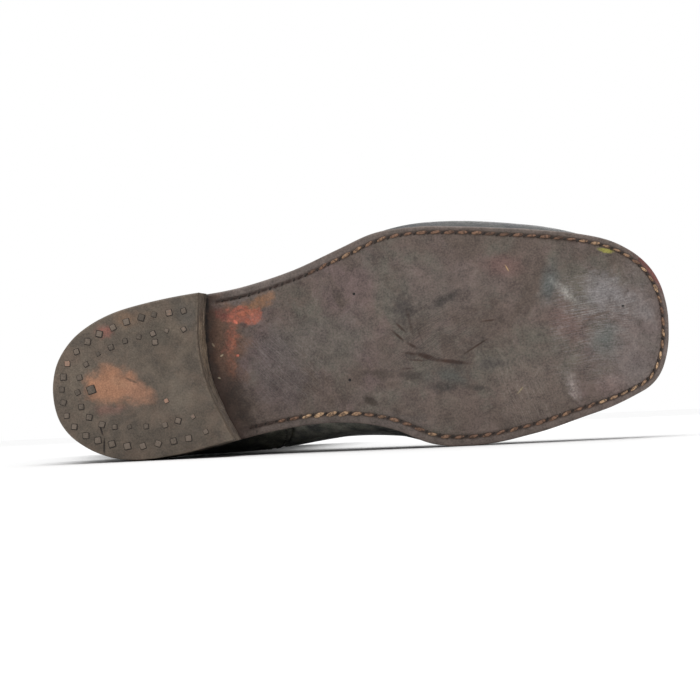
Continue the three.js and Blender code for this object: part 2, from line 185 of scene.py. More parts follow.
@dataclass(frozen=True)
class ShoePlace:
    """Where the boot lies in the frame.

    Attributes:
        origin: The back of the heel on the tread plane, in metres.
        axes: The shoe's own x, y and z as rows.
    """

    origin: Array
    axes: Array

    @classmethod
    def from_record(cls, record: dict, heel_mark: float = 40) -> ShoePlace:
        """Reads it from the two tread faces.

        Args:
            record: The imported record.
            heel_mark: How far forward the heel's tread face is marked.

        Returns:
            The boot's place.
        """
        marks = {mount["name"]: mount for mount in record["mounts"]}
        heel = np.array(marks["heel_tread"]["pos_m"])
        ball = np.array(marks["forefoot_tread"]["pos_m"])
        up = -np.array(marks["heel_tread"]["axis"])
        up /= np.linalg.norm(up)
        ahead = ball - heel
        ahead -= up * ahead.dot(up)
        ahead /= np.linalg.norm(ahead)
        return cls(heel - ahead * heel_mark * MM, np.array([ahead, np.cross(up, ahead), up]))

    def to_row(self, points: Array) -> Array:
        """Turns shoe millimetres into metres of the frame."""
        return self.origin + (np.asarray(points) * MM) @ self.axes


@dataclass(frozen=True)
class SoleForm:
    """The form of the sole: its outline, its curve, the heel's front and what stands on it."""

    length: float = 302
    ball_width: float = 108
    heel_height: float = 28
    outsole: float = 6
    welt: float = 3
    gap: float = 0.3
    toe_spring: float = 11
    seat_end: float = 0.3
    tread_start: float = 0.62
    tread_end: float = 0.8
    heel_round: float = 44
    toe_round: float = 66
    heel_centre: float = 3
    toe_centre: float = -5
    breast_lateral: float = 76
    breast_medial: float = 85.5
    breast_bow: float = 7
    breast_slope: float = 2
    breast_ends: tuple[float, float] = (38, -36)
    places: tuple[float, ...] = (
        0.03, 0.1, 0.19, 0.3, 0.4, 0.48, 0.54, 0.6, 0.67, 0.76, 0.85, 0.93, 0.975,
    )
    lateral: tuple[float, ...] = (
        0.223, 0.339, 0.38, 0.394, 0.436, 0.497, 0.542, 0.545, 0.523, 0.478, 0.426, 0.346, 0.237,
    )
    medial: tuple[float, ...] = (
        0.21, 0.32, 0.333, 0.293, 0.273, 0.292, 0.343, 0.432, 0.463, 0.445, 0.397, 0.335, 0.255,
    )

    @property
    def welt_seat(self) -> float:
        """Height of the welt over the bottom of the sole."""
        return self.outsole + self.gap

    @property
    def upper_seat(self) -> float:
        """Height of the upper over the bottom of the sole."""
        return self.welt_seat + self.welt + self.gap

    def side(self, side: Side) -> Callable[[Array], Array]:
        """Half width by turn on one side.

        Args:
            side: The side.

        Returns:
            The half width, as a function of the turn.
        """
        column = self.medial if side is Side.MEDIAL else self.lateral
        widths = [width * self.ball_width for width in column]
        return rounded_side(self.places, widths, self.length, self.heel_round, self.toe_round)

    def edge(self, turn: Array) -> Array:
        """Edge of the sole in plan.

        Args:
            turn: Turn round it, from the back up the inner side.

        Returns:
            Its x and y.
        """
        turn = np.mod(turn, ROUND)
        half = half_turn(turn)
        reach = np.where(turn > math.pi, self.side(Side.LATERAL)(half), self.side(Side.MEDIAL)(half))
        share = share_at(turn)
        centre = mix(self.heel_centre, self.toe_centre, share)
        return np.stack([self.length * share, centre + reach * np.sin(turn)], -1)

    def outward(self, turn: Array) -> Array:
        """The way out of the edge in plan.

        Args:
            turn: Turn round the sole.

        Returns:
            The way out, of length 1.
        """
        step = 1e-4
        along = self.edge(turn + step) - self.edge(turn - step)
        along /= np.linalg.norm(along, axis=-1, keepdims=True)
        return np.stack([-along[..., 1], along[..., 0]], -1)

    def inset(self, turn: Array, inset: Array | float) -> Array:
        """A line a set way inside the edge, in plan."""
        return self.edge(turn) - self.outward(turn) * np.asarray(inset)[..., None]

    def bottom(self, x: Array) -> Array:
        """Height of the bottom of the sole over the tread.

        Args:
            x: Place along the sole.

        Returns:
            The height.
        """
        share = np.asarray(x) / self.length
        waist = self.heel_height * (1 - smoothstep(share, self.seat_end, self.tread_start))
        toe = np.clip((share - self.tread_end) / (1 - self.tread_end), 0, 1)
        return waist + self.toe_spring * toe * toe

    def on_sole(self, turn: Array, inset: Array | float, rise: Array | float) -> Array:
        """Points over the bottom of the sole, a set way inside its edge."""
        plan = self.inset(turn, inset)
        return np.concatenate([plan, (self.bottom(plan[..., 0]) + rise)[..., None]], -1)

    def turn_of(self, x: float) -> float:
        """The turn on the inner side whose edge is at a place along the sole."""
        return turn_at(x / self.length)

    def breast(self, y: Array) -> Array:
        """Place of the heel's front where it meets the sole.

        Args:
            y: Place across the sole.

        Returns:
            Its x.
        """
        inner, outer = self.breast_ends
        share = np.clip((inner - y) / (inner - outer), 0, 1)
        front = mix(self.breast_medial, self.breast_lateral, share)
        return front - self.breast_bow * np.sin(math.pi * share) + self.breast_slope


@dataclass(frozen=True)
class FootRing:
    """A ring of the foot, in shares of the sole's length, the ankle's rise and the ball's width."""

    back: float
    front: float
    back_rise: float
    front_rise: float
    follow: float
    back_centre: float
    front_centre: float
    back_round: float
    front_round: float
    lateral: tuple[float, ...]
    medial: tuple[float, ...]


@dataclass(frozen=True)
class LegRing:
    """A ring of the leg, in shares of the sole's length and the collar's depth and width."""

    middle: float
    depth: float
    width: float
    back_rise: float
    front_rise: float
    centre: float


RING_PLACES = (0.13, 0.38, 0.52, 0.66, 0.86)
FOOT_RINGS = (
    FootRing(-0.001, 0.974, 0.228, 0.238, 1, 0.028, -0.046, 0.33, 0.51,
             (0.329, 0.356, 0.458, 0.526, 0.401), (0.292, 0.329, 0.329, 0.419, 0.363)),
    FootRing(-0.002, 0.924, 0.446, 0.337, 0.85, 0.019, -0.037, 0.31, 0.42,
             (0.298, 0.326, 0.398, 0.454, 0.296), (0.276, 0.345, 0.333, 0.37, 0.259)),
    FootRing(0.008, 0.805, 0.644, 0.406, 0.65, 0.009, -0.028, 0.31, 0.28,
             (0.282, 0.31, 0.343, 0.374, 0.274), (0.273, 0.338, 0.333, 0.32, 0.207)),
    FootRing(0.017, 0.639, 0.822, 0.525, 0.4, 0, -0.019, 0.33, 0.26,
             (0.278, 0.312, 0.319, 0.312, 0.234), (0.281, 0.341, 0.343, 0.318, 0.219)),
    FootRing(0.017, 0.497, 1, 0.762, 0.2, 0, -0.014, 0.35, 0.28,
             (0.271, 0.328, 0.335, 0.31, 0.201), (0.28, 0.344, 0.355, 0.329, 0.206)),
)
LEG_RINGS = (
    LegRing(0.217, 0.827, 0.87, 0.084, 0.038, -0.006),
    LegRing(0.202, 0.846, 0.875, 0.237, 0.237, -0.012),
    LegRing(0.196, 0.917, 0.93, 0.485, 0.473, -0.028),
    LegRing(0.197, 0.965, 0.98, 0.733, 0.733, -0.045),
    LegRing(0.205, 1, 1, 0.954, 1, -0.057),
)
LEG_SECTION = (0.72, 0.98, 1, 0.95, 0.66)
LATERAL_SWELL = (
    -0.03, -0.024, -0.028, -0.03, -0.032, -0.024, -0.01, 0.008, 0.019, 0.021, 0.006, -0.03, -0.034,
)
MEDIAL_SWELL = (
    -0.03, -0.024, -0.026, -0.006, 0.012, 0.006, -0.012, -0.026, -0.03, -0.03, -0.03, -0.033, -0.034,
)


@dataclass
class UpperForm:
    """The form of the upper, read by the turn round it and the level up it."""

    sole: SoleForm
    wall: float = 2.2
    feather_inset: float = 4.6
    swell_rise: float = 11
    ankle_rise: float = 101
    shaft_rise: float = 363
    collar_depth: float = 156
    collar_width: float = 88
    calf_round: float = 0.76
    shin_round: float = 0.55
    rings: list[Callable[[Array], Array]] = field(default_factory=list)

    def __post_init__(self) -> None:
        """Lays out the rings from the featherline to the collar."""
        seat = self.sole.upper_seat
        self.rings.append(lambda turn: self.sole.on_sole(turn, self.feather_inset, seat))
        self.rings.append(self.swell_ring())
        self.rings.extend(self.foot_ring(row) for row in FOOT_RINGS)
        self.rings.extend(self.leg_ring(row) for row in LEG_RINGS)

    @property
    def top(self) -> int:
        """The level of the collar."""
        return len(self.rings) - 1

    def swell_ring(self) -> Callable[[Array], Array]:
        """The ring just above the welt, where the upper swells past the edge of the sole.

        Returns:
            The ring, as a function of the turn.
        """
        knots = [0, *(turn_at(place) for place in self.sole.places), math.pi]
        sides = [
            curve_through(knots, np.array([row[0], *row, row[-1]]) * self.sole.ball_width)
            for row in (MEDIAL_SWELL, LATERAL_SWELL)
        ]

        def ring(turn: Array) -> Array:
            """The ring's points.

            Args:
                turn: Turn round it.

            Returns:
                Its points.
            """
            half = half_turn(turn)
            swell = np.where(turn > math.pi, sides[1](half), sides[0](half))
            return self.sole.on_sole(turn, -swell, self.sole.upper_seat + self.swell_rise)

        return ring

    def foot_ring(self, row: FootRing) -> Callable[[Array], Array]:
        """A ring of the foot.

        Args:
            row: Its measures.

        Returns:
            The ring, as a function of the turn.
        """
        sole, unit = self.sole, self.sole.ball_width
        back, front = row.back * sole.length, row.front * sole.length
        rounds = (row.back_round * unit, row.front_round * unit)
        sides = [
            rounded_side(RING_PLACES, [width * unit for width in widths], front - back, *rounds)
            for widths in (row.medial, row.lateral)
        ]
        heel_seat = sole.heel_height + sole.upper_seat

        def ring(turn: Array) -> Array:
            """The ring's points.

            Args:
                turn: Turn round it.

            Returns:
                Its points.
            """
            share, half = share_at(turn), half_turn(turn)
            x = mix(back, front, share)
            reach = np.where(turn > math.pi, sides[1](half), sides[0](half))
            centre = mix(row.back_centre, row.front_centre, share) * unit
            seat = mix(heel_seat, sole.bottom(x) + sole.upper_seat, row.follow)
            rise = mix(row.back_rise, row.front_rise, share) * self.ankle_rise
            return np.stack([x, centre + reach * np.sin(turn), seat + rise], -1)

        return ring

    def leg_ring(self, row: LegRing) -> Callable[[Array], Array]:
        """A ring of the leg.

        Args:
            row: Its measures.

        Returns:
            The ring, as a function of the turn.
        """
        depth, half_width = row.depth * self.collar_depth, row.width * self.collar_width / 2
        back = row.middle * self.sole.length - depth / 2
        widths = [width * half_width for width in LEG_SECTION]
        rounds = (self.calf_round * half_width, self.shin_round * half_width)
        side = rounded_side(RING_PLACES, widths, depth, *rounds)
        heel_seat = self.sole.heel_height + self.sole.upper_seat

        def ring(turn: Array) -> Array:
            """The ring's points.

            Args:
                turn: Turn round it.

            Returns:
                Its points.
            """
            share = share_at(turn)
            leg = mix(row.back_rise, row.front_rise, share) * (self.shaft_rise - self.ankle_rise)
            y = row.centre * self.collar_width + side(half_turn(turn)) * np.sin(turn)
            z = heel_seat + self.ankle_rise + leg
            return np.stack([back + depth * share, y, z + 0 * y], -1)

        return ring

    def last(self, turn: Array, level: Array) -> Array:
        """Points on the form itself, on a smooth curve up through the rings.

        Args:
            turn: Turn round it.
            level: Level up it, a whole number at each ring.

        Returns:
            The points.
        """
        turn, level = np.broadcast_arrays(np.mod(turn, ROUND), np.clip(level, 0, self.top))
        key, back = np.unique(turn.round(9), return_inverse=True)
        knots = np.stack([ring(key) for ring in self.rings])
        first, final = 2 * knots[0] - knots[1], 2 * knots[-1] - knots[-2]
        knots = np.concatenate([first[None], knots, final[None]])[:, back.reshape(turn.shape)]
        space = np.minimum(level.astype(int), self.top - 1)
        index = np.indices(turn.shape)
        p = [knots[(space + k, *index)] for k in range(4)]
        root = [np.sqrt(np.linalg.norm(b - a, axis=-1, keepdims=True)) for a, b in zip(p, p[1:])]
        start = (p[1] - p[0]) / root[0] - (p[2] - p[0]) / (root[0] + root[1]) + (p[2] - p[1]) / root[1]
        end = (p[2] - p[1]) / root[1] - (p[3] - p[1]) / (root[1] + root[2]) + (p[3] - p[2]) / root[2]
        start, end = start * root[1], end * root[1]
        u = (level - space)[..., None]
        cubic = 2 * (p[1] - p[2]) + start + end
        square = 3 * (p[2] - p[1]) - 2 * start - end
        return p[1] + u * (start + u * (square + u * cubic))

    def way_out(self, turn: Array, level: Array) -> Array:
        """The way out of the form, level at both of its edges.

        Args:
            turn: Turn round it.
            level: Level up it.

        Returns:
            The way out, of length 1.
        """
        step = 1e-3
        upward = self.last(turn, np.minimum(level + step, self.top)) - self.last(
            turn, np.maximum(level - step, 0)
        )
        sideways = self.last(turn + step, level) - self.last(turn - step, level)
        out = np.cross(upward, sideways)
        out /= np.linalg.norm(out, axis=-1, keepdims=True)
        out[..., 2] *= smoothstep(level, 0, 1) * smoothstep(self.top - level, 0, 1)
        return out / np.linalg.norm(out, axis=-1, keepdims=True)

    def at(self, turn: Array, level: Array, offset: Array | float) -> Array:
        """Points moved out of the form, which keep to the curve of the sole at the lower edge.

        Args:
            turn: Turn round it.
            level: Level up it.
            offset: How far out they lie.

        Returns:
            The points.
        """
        turn, level = np.broadcast_arrays(turn, level)
        start = self.last(turn, level)
        point = start + self.way_out(turn, level) * np.asarray(offset)[..., None]
        shift = self.sole.bottom(point[..., 0]) - self.sole.bottom(start[..., 0])
        point[..., 2] += (1 - smoothstep(level, 0, 1)) * shift
        return point


def paint(piece: bpy.types.Object, name: str, values: Array) -> None:
    """Gives each corner of a piece a value that its finish reads."""
    layer = piece.data.attributes.new(name, "FLOAT", "POINT")
    layer.data.foreach_set("value", np.asarray(values, dtype=np.float32).ravel())


def make_object(name: str, points: Array, faces: Sequence, place: ShoePlace) -> bpy.types.Object:
    """A mesh object from shoe points, with none below the floor.

    Args:
        name: Name of the object.
        points: Corners in shoe millimetres.
        faces: Corner numbers of each face.
        place: Where the boot lies.

    Returns:
        The object, linked to the scene.
    """
    mesh = bpy.data.meshes.new(name)
    corners = place.to_row(points.reshape(-1, 3))
    corners[:, 2] = np.maximum(corners[:, 2], LEAST_RISE * MM)
    mesh.from_pydata(corners.tolist(), [], [list(face) for face in faces])
    mesh.update()
    piece = bpy.data.objects.new(name, mesh)
    bpy.context.scene.collection.objects.link(piece)
    return piece


def tidy_mesh(piece: bpy.types.Object, angle: float, merge: float = 2e-6) -> None:
    """Merges doubles, turns the faces outward and smooths what isn't a sharp edge.

    Args:
        piece: The object.
        angle: Edges sharper than this stay sharp, in degrees.
        merge: Corners closer than this become one, in metres.
    """
    work = bmesh.new()
    work.from_mesh(piece.data)
    bmesh.ops.remove_doubles(work, verts=work.verts, dist=merge)
    bmesh.ops.dissolve_degenerate(work, edges=work.edges, dist=merge)
    bmesh.ops.recalc_face_normals(work, faces=work.faces)
    if work.calc_volume(signed=True) < 0:
        bmesh.ops.reverse_faces(work, faces=work.faces)
    work.to_mesh(piece.data)
    work.free()
    select_only(piece)
    bpy.ops.object.shade_smooth_by_angle(angle=math.radians(angle))


def select_only(piece: bpy.types.Object) -> None:
    """Deselects everything else and makes the piece active.

    Args:
        piece: The object.
    """
    bpy.ops.object.select_all(action="DESELECT")
    piece.select_set(True)
    bpy.context.view_layer.objects.active = piece


def grid_faces(rows: int, columns: int, around: bool, over: bool, start: int = 0) -> list:
    """Quads of a grid of corners.

    Args:
        rows: Number of rows.
        columns: Number of columns.
        around: Whether the last column joins the first.
        over: Whether the last row joins the first.
        start: Number of the first corner.

    Returns:
        The corner numbers of each quad.
    """
    r, c = np.meshgrid(
        np.arange(rows if over else rows - 1), np.arange(columns if around else columns - 1),
        indexing="ij",
    )
    r2, c2 = (r + 1) % rows, (c + 1) % columns
    quads = np.stack([r * columns + c, r * columns + c2, r2 * columns + c2, r2 * columns + c], -1)
    return (quads.reshape(-1, 4) + start).tolist()


def rounded_rows(thickness: float, radius: float, steps: int = 4) -> list[tuple[float, float]]:
    """Inset and rise down the side of a plate with rounded edges, from its bottom to its top.

    Args:
        thickness: Thickness of the plate.
        radius: Radius of its edges.
        steps: Steps round each edge.

    Returns:
        An inset and a rise for each row.
    """
    turns = [math.pi / 2 * i / steps for i in range(steps + 1)]
    low = [(radius * (1 - math.sin(t)), radius * (1 - math.cos(t))) for t in turns]
    return low + [(inset, thickness - rise) for inset, rise in reversed(low)]


class Tree:
    """Places nodes in a node tree, and joins them where an input is another node's output."""

    def __init__(self, tree: bpy.types.NodeTree) -> None:
        """Takes the node tree to fill."""
        self.tree = tree

    def add(self, kind: str, inputs: dict | None = None, **settings: object) -> bpy.types.Node:
        """Adds a node.

        Args:
            kind: Name of the node's type, without its common start.
            inputs: Values or outputs by the name or number of the input.
            settings: Other settings of the node.

        Returns:
            The node.
        """
        node = self.tree.nodes.new("ShaderNode" + kind)
        for name, value in settings.items():
            setattr(node, name, value)
        for name, value in (inputs or {}).items():
            socket = node.inputs[name]
            if isinstance(value, bpy.types.NodeSocket):
                self.tree.links.new(value, socket)
            else:
                socket.default_value = value
        return node

    def maths(self, operation: str, *values: object, clamp: bool = False) -> bpy.types.NodeSocket:
        """A sum of values."""
        inputs = dict(enumerate(values))
        return self.add("Math", inputs, operation=operation, use_clamp=clamp).outputs[0]

    def fade(self, value: object, low: object, high: object) -> bpy.types.NodeSocket:
        """Goes smoothly from 0 at low to 1 at high."""
        inputs = {"Value": value, "From Min": low, "From Max": high}
        return self.add("MapRange", inputs, interpolation_type="SMOOTHSTEP").outputs[0]

    def blend(self, share: object, a: object, b: object) -> bpy.types.NodeSocket:
        """Goes from colour a to colour b.

        Args:
            share: How far it goes.
            a: The first colour.
            b: The second colour.

        Returns:
            The mixed colour.
        """
        ends = [end if isinstance(end, bpy.types.NodeSocket) else (*end, 1) for end in (a, b)]
        return self.add("Mix", {0: share, 6: ends[0], 7: ends[1]}, data_type="RGBA").outputs[2]

    def attribute(self, name: str) -> bpy.types.NodeSocket:
        """The value that was painted on the piece under a name."""
        return self.add("Attribute", attribute_name=name).outputs["Fac"]

    def spot_mm(self) -> bpy.types.NodeSocket:
        """The shaded spot in the frame, in millimetres."""
        inputs = {"Vector": self.add("TexCoord").outputs["Object"], "Scale": (1 / MM,) * 3}
        return self.add("Mapping", inputs).outputs[0]

    def noise(self, place: object, scale: object, detail: float, **more: float) -> bpy.types.NodeSocket:
        """Noise, whose scale is in waves to a millimetre."""
        inputs = {"Vector": place, "Scale": scale, "Detail": detail, **more}
        return self.add("TexNoise", inputs).outputs["Fac"]


def new_material(name: str) -> tuple[bpy.types.Material, Tree]:
    """A new material with no nodes.

    Args:
        name: Its name.

    Returns:
        The material and its tree.
    """
    material = bpy.data.materials.new(name)
    material.use_nodes = True
    material.node_tree.nodes.clear()
    return material, Tree(material.node_tree)


class Groups:
    """Node groups for the effects that several finishes share, each built once."""

    @staticmethod
    def start(name: str, inputs: dict, outputs: Sequence[str]) -> tuple[Tree, dict, object]:
        """A new group with its sockets.

        Args:
            name: Name of the group.
            inputs: Default value by name. A sequence makes a vector socket.
            outputs: Names of the outputs, which are all values.

        Returns:
            The tree, its inputs by name, and the node that takes its outputs.
        """
        tree = bpy.data.node_groups.new(name, "ShaderNodeTree")
        for socket, default in inputs.items():
            kind = "NodeSocketFloat" if isinstance(default, (int, float)) else "NodeSocketVector"
            made = tree.interface.new_socket(name=socket, in_out="INPUT", socket_type=kind)
            made.default_value = default
        for socket in outputs:
            tree.interface.new_socket(name=socket, in_out="OUTPUT", socket_type="NodeSocketFloat")
        source = tree.nodes.new("NodeGroupInput")
        sink = tree.nodes.new("NodeGroupOutput")
        return Tree(tree), {socket: source.outputs[socket] for socket in inputs}, sink

    @staticmethod
    @cache
    def blot() -> bpy.types.NodeTree:
        """An oval mark with a ragged, blurred edge at one place.

        Returns:
            The group.
        """
        inputs = {"Place": (0, 0, 0), "Centre": (0, 0, 0), "Reach": (1, 1, 1e4), "Turn": 0.0,
                  "Blur": 0.5, "Ragged": 0.3, "Rough": 0.5, "Broken": 0.0, "Specks": 0.5}
        t, given, sink = Groups.start("blot", inputs, ["Mask"])
        off = t.add("VectorMath", {0: given["Place"], 1: given["Centre"]}, operation="SUBTRACT")
        back = t.maths("MULTIPLY", given["Turn"], -1.0)
        turned = t.add("VectorRotate", {"Vector": off.outputs[0], "Angle": back}, rotation_type="Z_AXIS")
        share = t.add("VectorMath", {0: turned.outputs[0], 1: given["Reach"]}, operation="DIVIDE")
        far = t.add("VectorMath", {0: share.outputs[0]}, operation="LENGTH").outputs["Value"]
        uneven = t.maths("MULTIPLY", t.maths("SUBTRACT", given["Rough"], 0.5), given["Ragged"])
        edge = t.maths("ADD", far, t.maths("MULTIPLY", uneven, 4.0))
        inner = t.maths("SUBTRACT", 1.0, given["Blur"])
        mask = t.fade(edge, 1.0, inner)
        lost = t.maths("MULTIPLY", t.fade(given["Specks"], 0.6, 0.4), given["Broken"])
        kept = t.maths("MULTIPLY", mask, t.maths("SUBTRACT", 1.0, lost))
        t.tree.links.new(kept, sink.inputs["Mask"])
        return t.tree

    @staticmethod
    @cache
    def scuffs() -> bpy.types.NodeTree:
        """Thin scratches that run one way.

        Returns:
            The group.
        """
        inputs = {"Place": (0, 0, 0), "Turn": 0.0, "Length": 12.0, "Width": 0.5, "Amount": 0.3}
        t, given, sink = Groups.start("scuffs", inputs, ["Mask"])
        bent = t.add("TexNoise", {"Vector": given["Place"], "Scale": 0.03, "Detail": 1.0})
        shift = t.add("VectorMath", {0: bent.outputs["Color"], "Scale": 7.0}, operation="SCALE")
        moved = t.add("VectorMath", {0: given["Place"], 1: shift.outputs[0]}, operation="ADD")
        turned = t.add("VectorRotate", {"Vector": moved.outputs[0], "Angle": given["Turn"]},
                       rotation_type="Z_AXIS")
        size = t.add("CombineXYZ", {0: given["Length"], 1: given["Width"], 2: 40.0})
        share = t.add("VectorMath", {0: turned.outputs[0], 1: size.outputs[0]}, operation="DIVIDE")
        lines = t.noise(share.outputs[0], 1.0, 2.0, Roughness=0.6)
        least = t.maths("SUBTRACT", 0.78, t.maths("MULTIPLY", given["Amount"], 0.3))
        mask = t.fade(lines, least, t.maths("ADD", least, 0.07))
        t.tree.links.new(mask, sink.inputs["Mask"])
        return t.tree

    @staticmethod
    @cache
    def mottle() -> bpy.types.NodeTree:
        """Uneven tone at two sizes, around 1: smudges and fine speckle.

        Returns:
            The group.
        """
        inputs = {"Place": (0, 0, 0), "Smudges": 0.14, "Speckle": 1.1, "Depth": 0.3}
        t, given, sink = Groups.start("mottle", inputs, ["Tone"])
        coarse = t.noise(given["Place"], given["Smudges"], 9.0, Roughness=0.68, Distortion=0.5)
        fine = t.noise(given["Place"], given["Speckle"], 2.0, Roughness=0.6)
        both = t.maths("ADD", t.maths("MULTIPLY", coarse, 1.5), t.maths("MULTIPLY", fine, 1.15))
        swing = t.maths("MULTIPLY", t.maths("SUBTRACT", both, 1.325),
                        t.maths("MULTIPLY", given["Depth"], 4.0))
        tone = t.maths("MAXIMUM", t.maths("ADD", swing, 1.0), 0.3)
        t.tree.links.new(tone, sink.inputs["Tone"])
        return t.tree

    @staticmethod
    @cache
    def hide_grain() -> bpy.types.NodeTree:
        """The relief of leather: pores and soft wrinkles.

        Returns:
            The group.
        """
        inputs = {"Place": (0, 0, 0), "Pores": 1.2, "Wrinkles": 0.25}
        t, given, sink = Groups.start("hide_grain", inputs, ["Height"])
        cells = t.add("TexVoronoi", {"Vector": given["Place"], "Scale": given["Pores"]},
                      feature="DISTANCE_TO_EDGE").outputs["Distance"]
        cells = t.fade(cells, 0.0, 0.22)
        soft = t.noise(given["Place"], given["Wrinkles"], 8.0, Roughness=0.7, Distortion=0.4)
        height = t.maths("ADD", t.maths("MULTIPLY", cells, 0.35), soft)
        t.tree.links.new(height, sink.inputs["Height"])
        return t.tree


@dataclass(frozen=True)
class Blot:
    """A mark at a given spot of the leather.

    Attributes:
        centre: Where it is, in shoe millimetres.
        reach: Half its length and half its width.
        colour: Its colour: mostly stains and wear, and in a few marks painted shade and painted highlights.
        strength: How much of it shows.
        turn: How far it is turned, in degrees.
        blur: Share of it that fades out.
        ragged: How uneven its edge is.
        gloss: What it adds to the roughness.
        depth: How far it is pressed in, for the relief.
        grain: Waves of its uneven edge to a millimetre.
        broken: How much of it is rubbed away in specks.
        tall: How far up the shoe it reaches.
    """

    centre: tuple[float, float]
    reach: tuple[float, float]
    colour: Colour
    strength: float = 0.6
    turn: float = 0
    blur: float = 0.9
    ragged: float = 0.4
    gloss: float = 0
    depth: float = 0
    grain: float = 0.12
    broken: float = 0
    tall: float = 1e4


@dataclass(frozen=True)
class Leather:
    """A finish of leather, with its clouds of colour and its marks.

    Attributes:
        name: Name of the finish.
        clouds: Colours that drift into each other.
        scale: Waves of the clouds to a millimetre.
        roughness: How dull it is.
        grain: Pores to a millimetre, and wrinkles to a millimetre.
        relief: Depth of the grain, in millimetres.
        scuffs: How many thin scratches show.
        scuff_colour: Colour of the scratches.
        scratched: Places with many scratches, whose colour is that of the mark.
        mottle: How uneven its tone is.
        rim: Colour of the band outside the thread, on a piece that has one.
        furrow: Colour of the shade painted in the furrow of the thread, on such a piece.
        shade: Colour of the shade painted on the sole in front of the heel, on such a piece.
        corner: Colour of the darker shade painted in the corner where the sole meets the heel's front, on
            such a piece.
        blots: Marks with their own places.
        layers: Thickness of the layers that show at a cut edge, or 0.
        sheen: Loose fibres that catch the light.
    """

    name: str
    clouds: tuple[Colour, ...]
    scale: float = 0.03
    roughness: float = 0.6
    grain: tuple[float, float] = (1.1, 0.22)
    relief: float = 0.12
    scuffs: float = 0.3
    scuff_colour: Colour = (0.2, 0.18, 0.165)
    scratched: tuple[Blot, ...] = ()
    mottle: float = 0.3
    rim: Colour | None = None
    furrow: Colour = (0.046, 0.025, 0.018)
    shade: Colour = (0.045, 0.023, 0.015)
    corner: Colour = (0.014, 0.009, 0.007)
    blots: tuple[Blot, ...] = ()
    layers: float = 0
    sheen: float = 0.0

    def make(self, place: ShoePlace) -> bpy.types.Material:
        """Builds the material.

        Args:
            place: Where the boot lies, which turns the pattern into its own sizes.

        Returns:
            The material.
        """
        material, t = new_material(self.name)
        spot = self.shoe_spot(t, place)
        hide = t.add("Group", {"Place": spot, "Pores": self.grain[0], "Wrinkles": self.grain[1]},
                     node_tree=Groups.hide_grain())
        height = t.maths("MULTIPLY", hide.outputs["Height"], self.relief)
        grains = {blot.grain for blot in self.blots + self.scratched} | {SPECKS}
        grains |= {COARSE} if self.rim else set()
        rough = {grain: t.noise(spot, grain, 5, Roughness=0.65) for grain in sorted(grains)}
        colour, dull, height = self.marked(t, spot, rough, self.clouded(t, spot), height)
        if self.rim:
            # Painted shade by the heel's front and in the furrow of the thread.
            colour = self.sewn(t, colour, rough[COARSE])
        broken = t.fade(t.noise(spot, 0.45, 6, Roughness=0.7), 0.38, 0.62)
        rubbed = t.maths("MULTIPLY", t.attribute("worn"), t.maths("MULTIPLY", broken, 0.85))
        colour = t.blend(rubbed, colour, self.lighter(1.8))
        if self.layers:
            colour, height = self.cut_edge(t, spot, colour, height)
        uneven = t.maths("MULTIPLY", t.maths("SUBTRACT", t.noise(spot, 0.15, 5), 0.5), 0.3)
        dull = t.maths("ADD", dull, uneven, clamp=True)
        bump = t.add("Bump", {"Height": height, "Distance": MM, "Strength": 1.0})
        shader = t.add("BsdfPrincipled", {
            "Base Color": colour, "Roughness": dull, "Normal": bump.outputs[0],
            "Specular IOR Level": 0.42, "Sheen Weight": self.sheen,
        })
        t.add("OutputMaterial", {"Surface": shader.outputs[0]})
        return material

    def marked(self, t: Tree, spot: object, rough: dict, colour: object, height: object) -> tuple:
        """Lays the marks, the scratches and the uneven tone over the clouds.

        Args:
            t: Where the nodes go.
            spot: The shaded spot.
            rough: Noises by grain.
            colour: The colour of the clouds.
            height: The relief so far.

        Returns:
            The colour, the roughness and the relief.
        """
        dull: object = self.roughness
        if self.rim:
            colour = t.blend(t.maths("MULTIPLY", t.attribute("rim"), 0.75), colour, self.rim)
        for blot in self.blots:
            mask = self.mark(t, spot, blot, rough)
            colour = t.blend(mask, colour, blot.colour)
            if blot.gloss:
                dull = t.maths("ADD", dull, t.maths("MULTIPLY", mask, blot.gloss))
            if blot.depth:
                height = t.maths("SUBTRACT", height, t.maths("MULTIPLY", mask, blot.depth))
        lines = self.scratches(t, spot, (0.35, -0.6, 1.3), self.scuffs)
        colour = t.blend(t.maths("MULTIPLY", lines, 0.3), colour, self.scuff_colour)
        height = t.maths("SUBTRACT", height, t.maths("MULTIPLY", lines, 0.05))
        for blot in self.scratched:
            lines = self.scratches(t, spot, (math.radians(blot.turn), math.radians(blot.turn + 9)), 0.8)
            lines = t.maths("MULTIPLY", lines, self.mark(t, spot, blot, rough))
            colour = t.blend(lines, colour, blot.colour)
        uneven = t.add("Group", {"Place": spot, "Depth": self.mottle}, node_tree=Groups.mottle())
        colour = t.add("HueSaturation", {"Color": colour, "Value": uneven.outputs[0]}).outputs[0]
        return colour, dull, height

    def sewn(self, t: Tree, colour: object, coarse: object) -> bpy.types.NodeSocket:
        """Paints shade on the sole in front of the heel, darkest in the corner at the heel, and in the furrow
        of its thread.

        Args:
            t: Where the nodes go.
            colour: The colour so far.
            coarse: A coarse noise.

        Returns:
            The colour.
        """
        # Painted shade in front of the heel, from the painted mask shaded, frayed by noise; darkest in the
        # corner.
        near = t.maths("ADD", t.attribute("shaded"),
                       t.maths("MULTIPLY", t.maths("SUBTRACT", coarse, 0.5), 0.4))
        colour = t.blend(t.maths("MULTIPLY", t.fade(near, 0.3, 1.0), 0.8), colour, self.shade)
        colour = t.blend(t.fade(near, 0.86, 1.02), colour, self.corner)
        # Painted shade in the furrow of the thread, by the painted mask seam.
        return t.blend(t.maths("MULTIPLY", t.attribute("seam"), 0.75), colour, self.furrow)

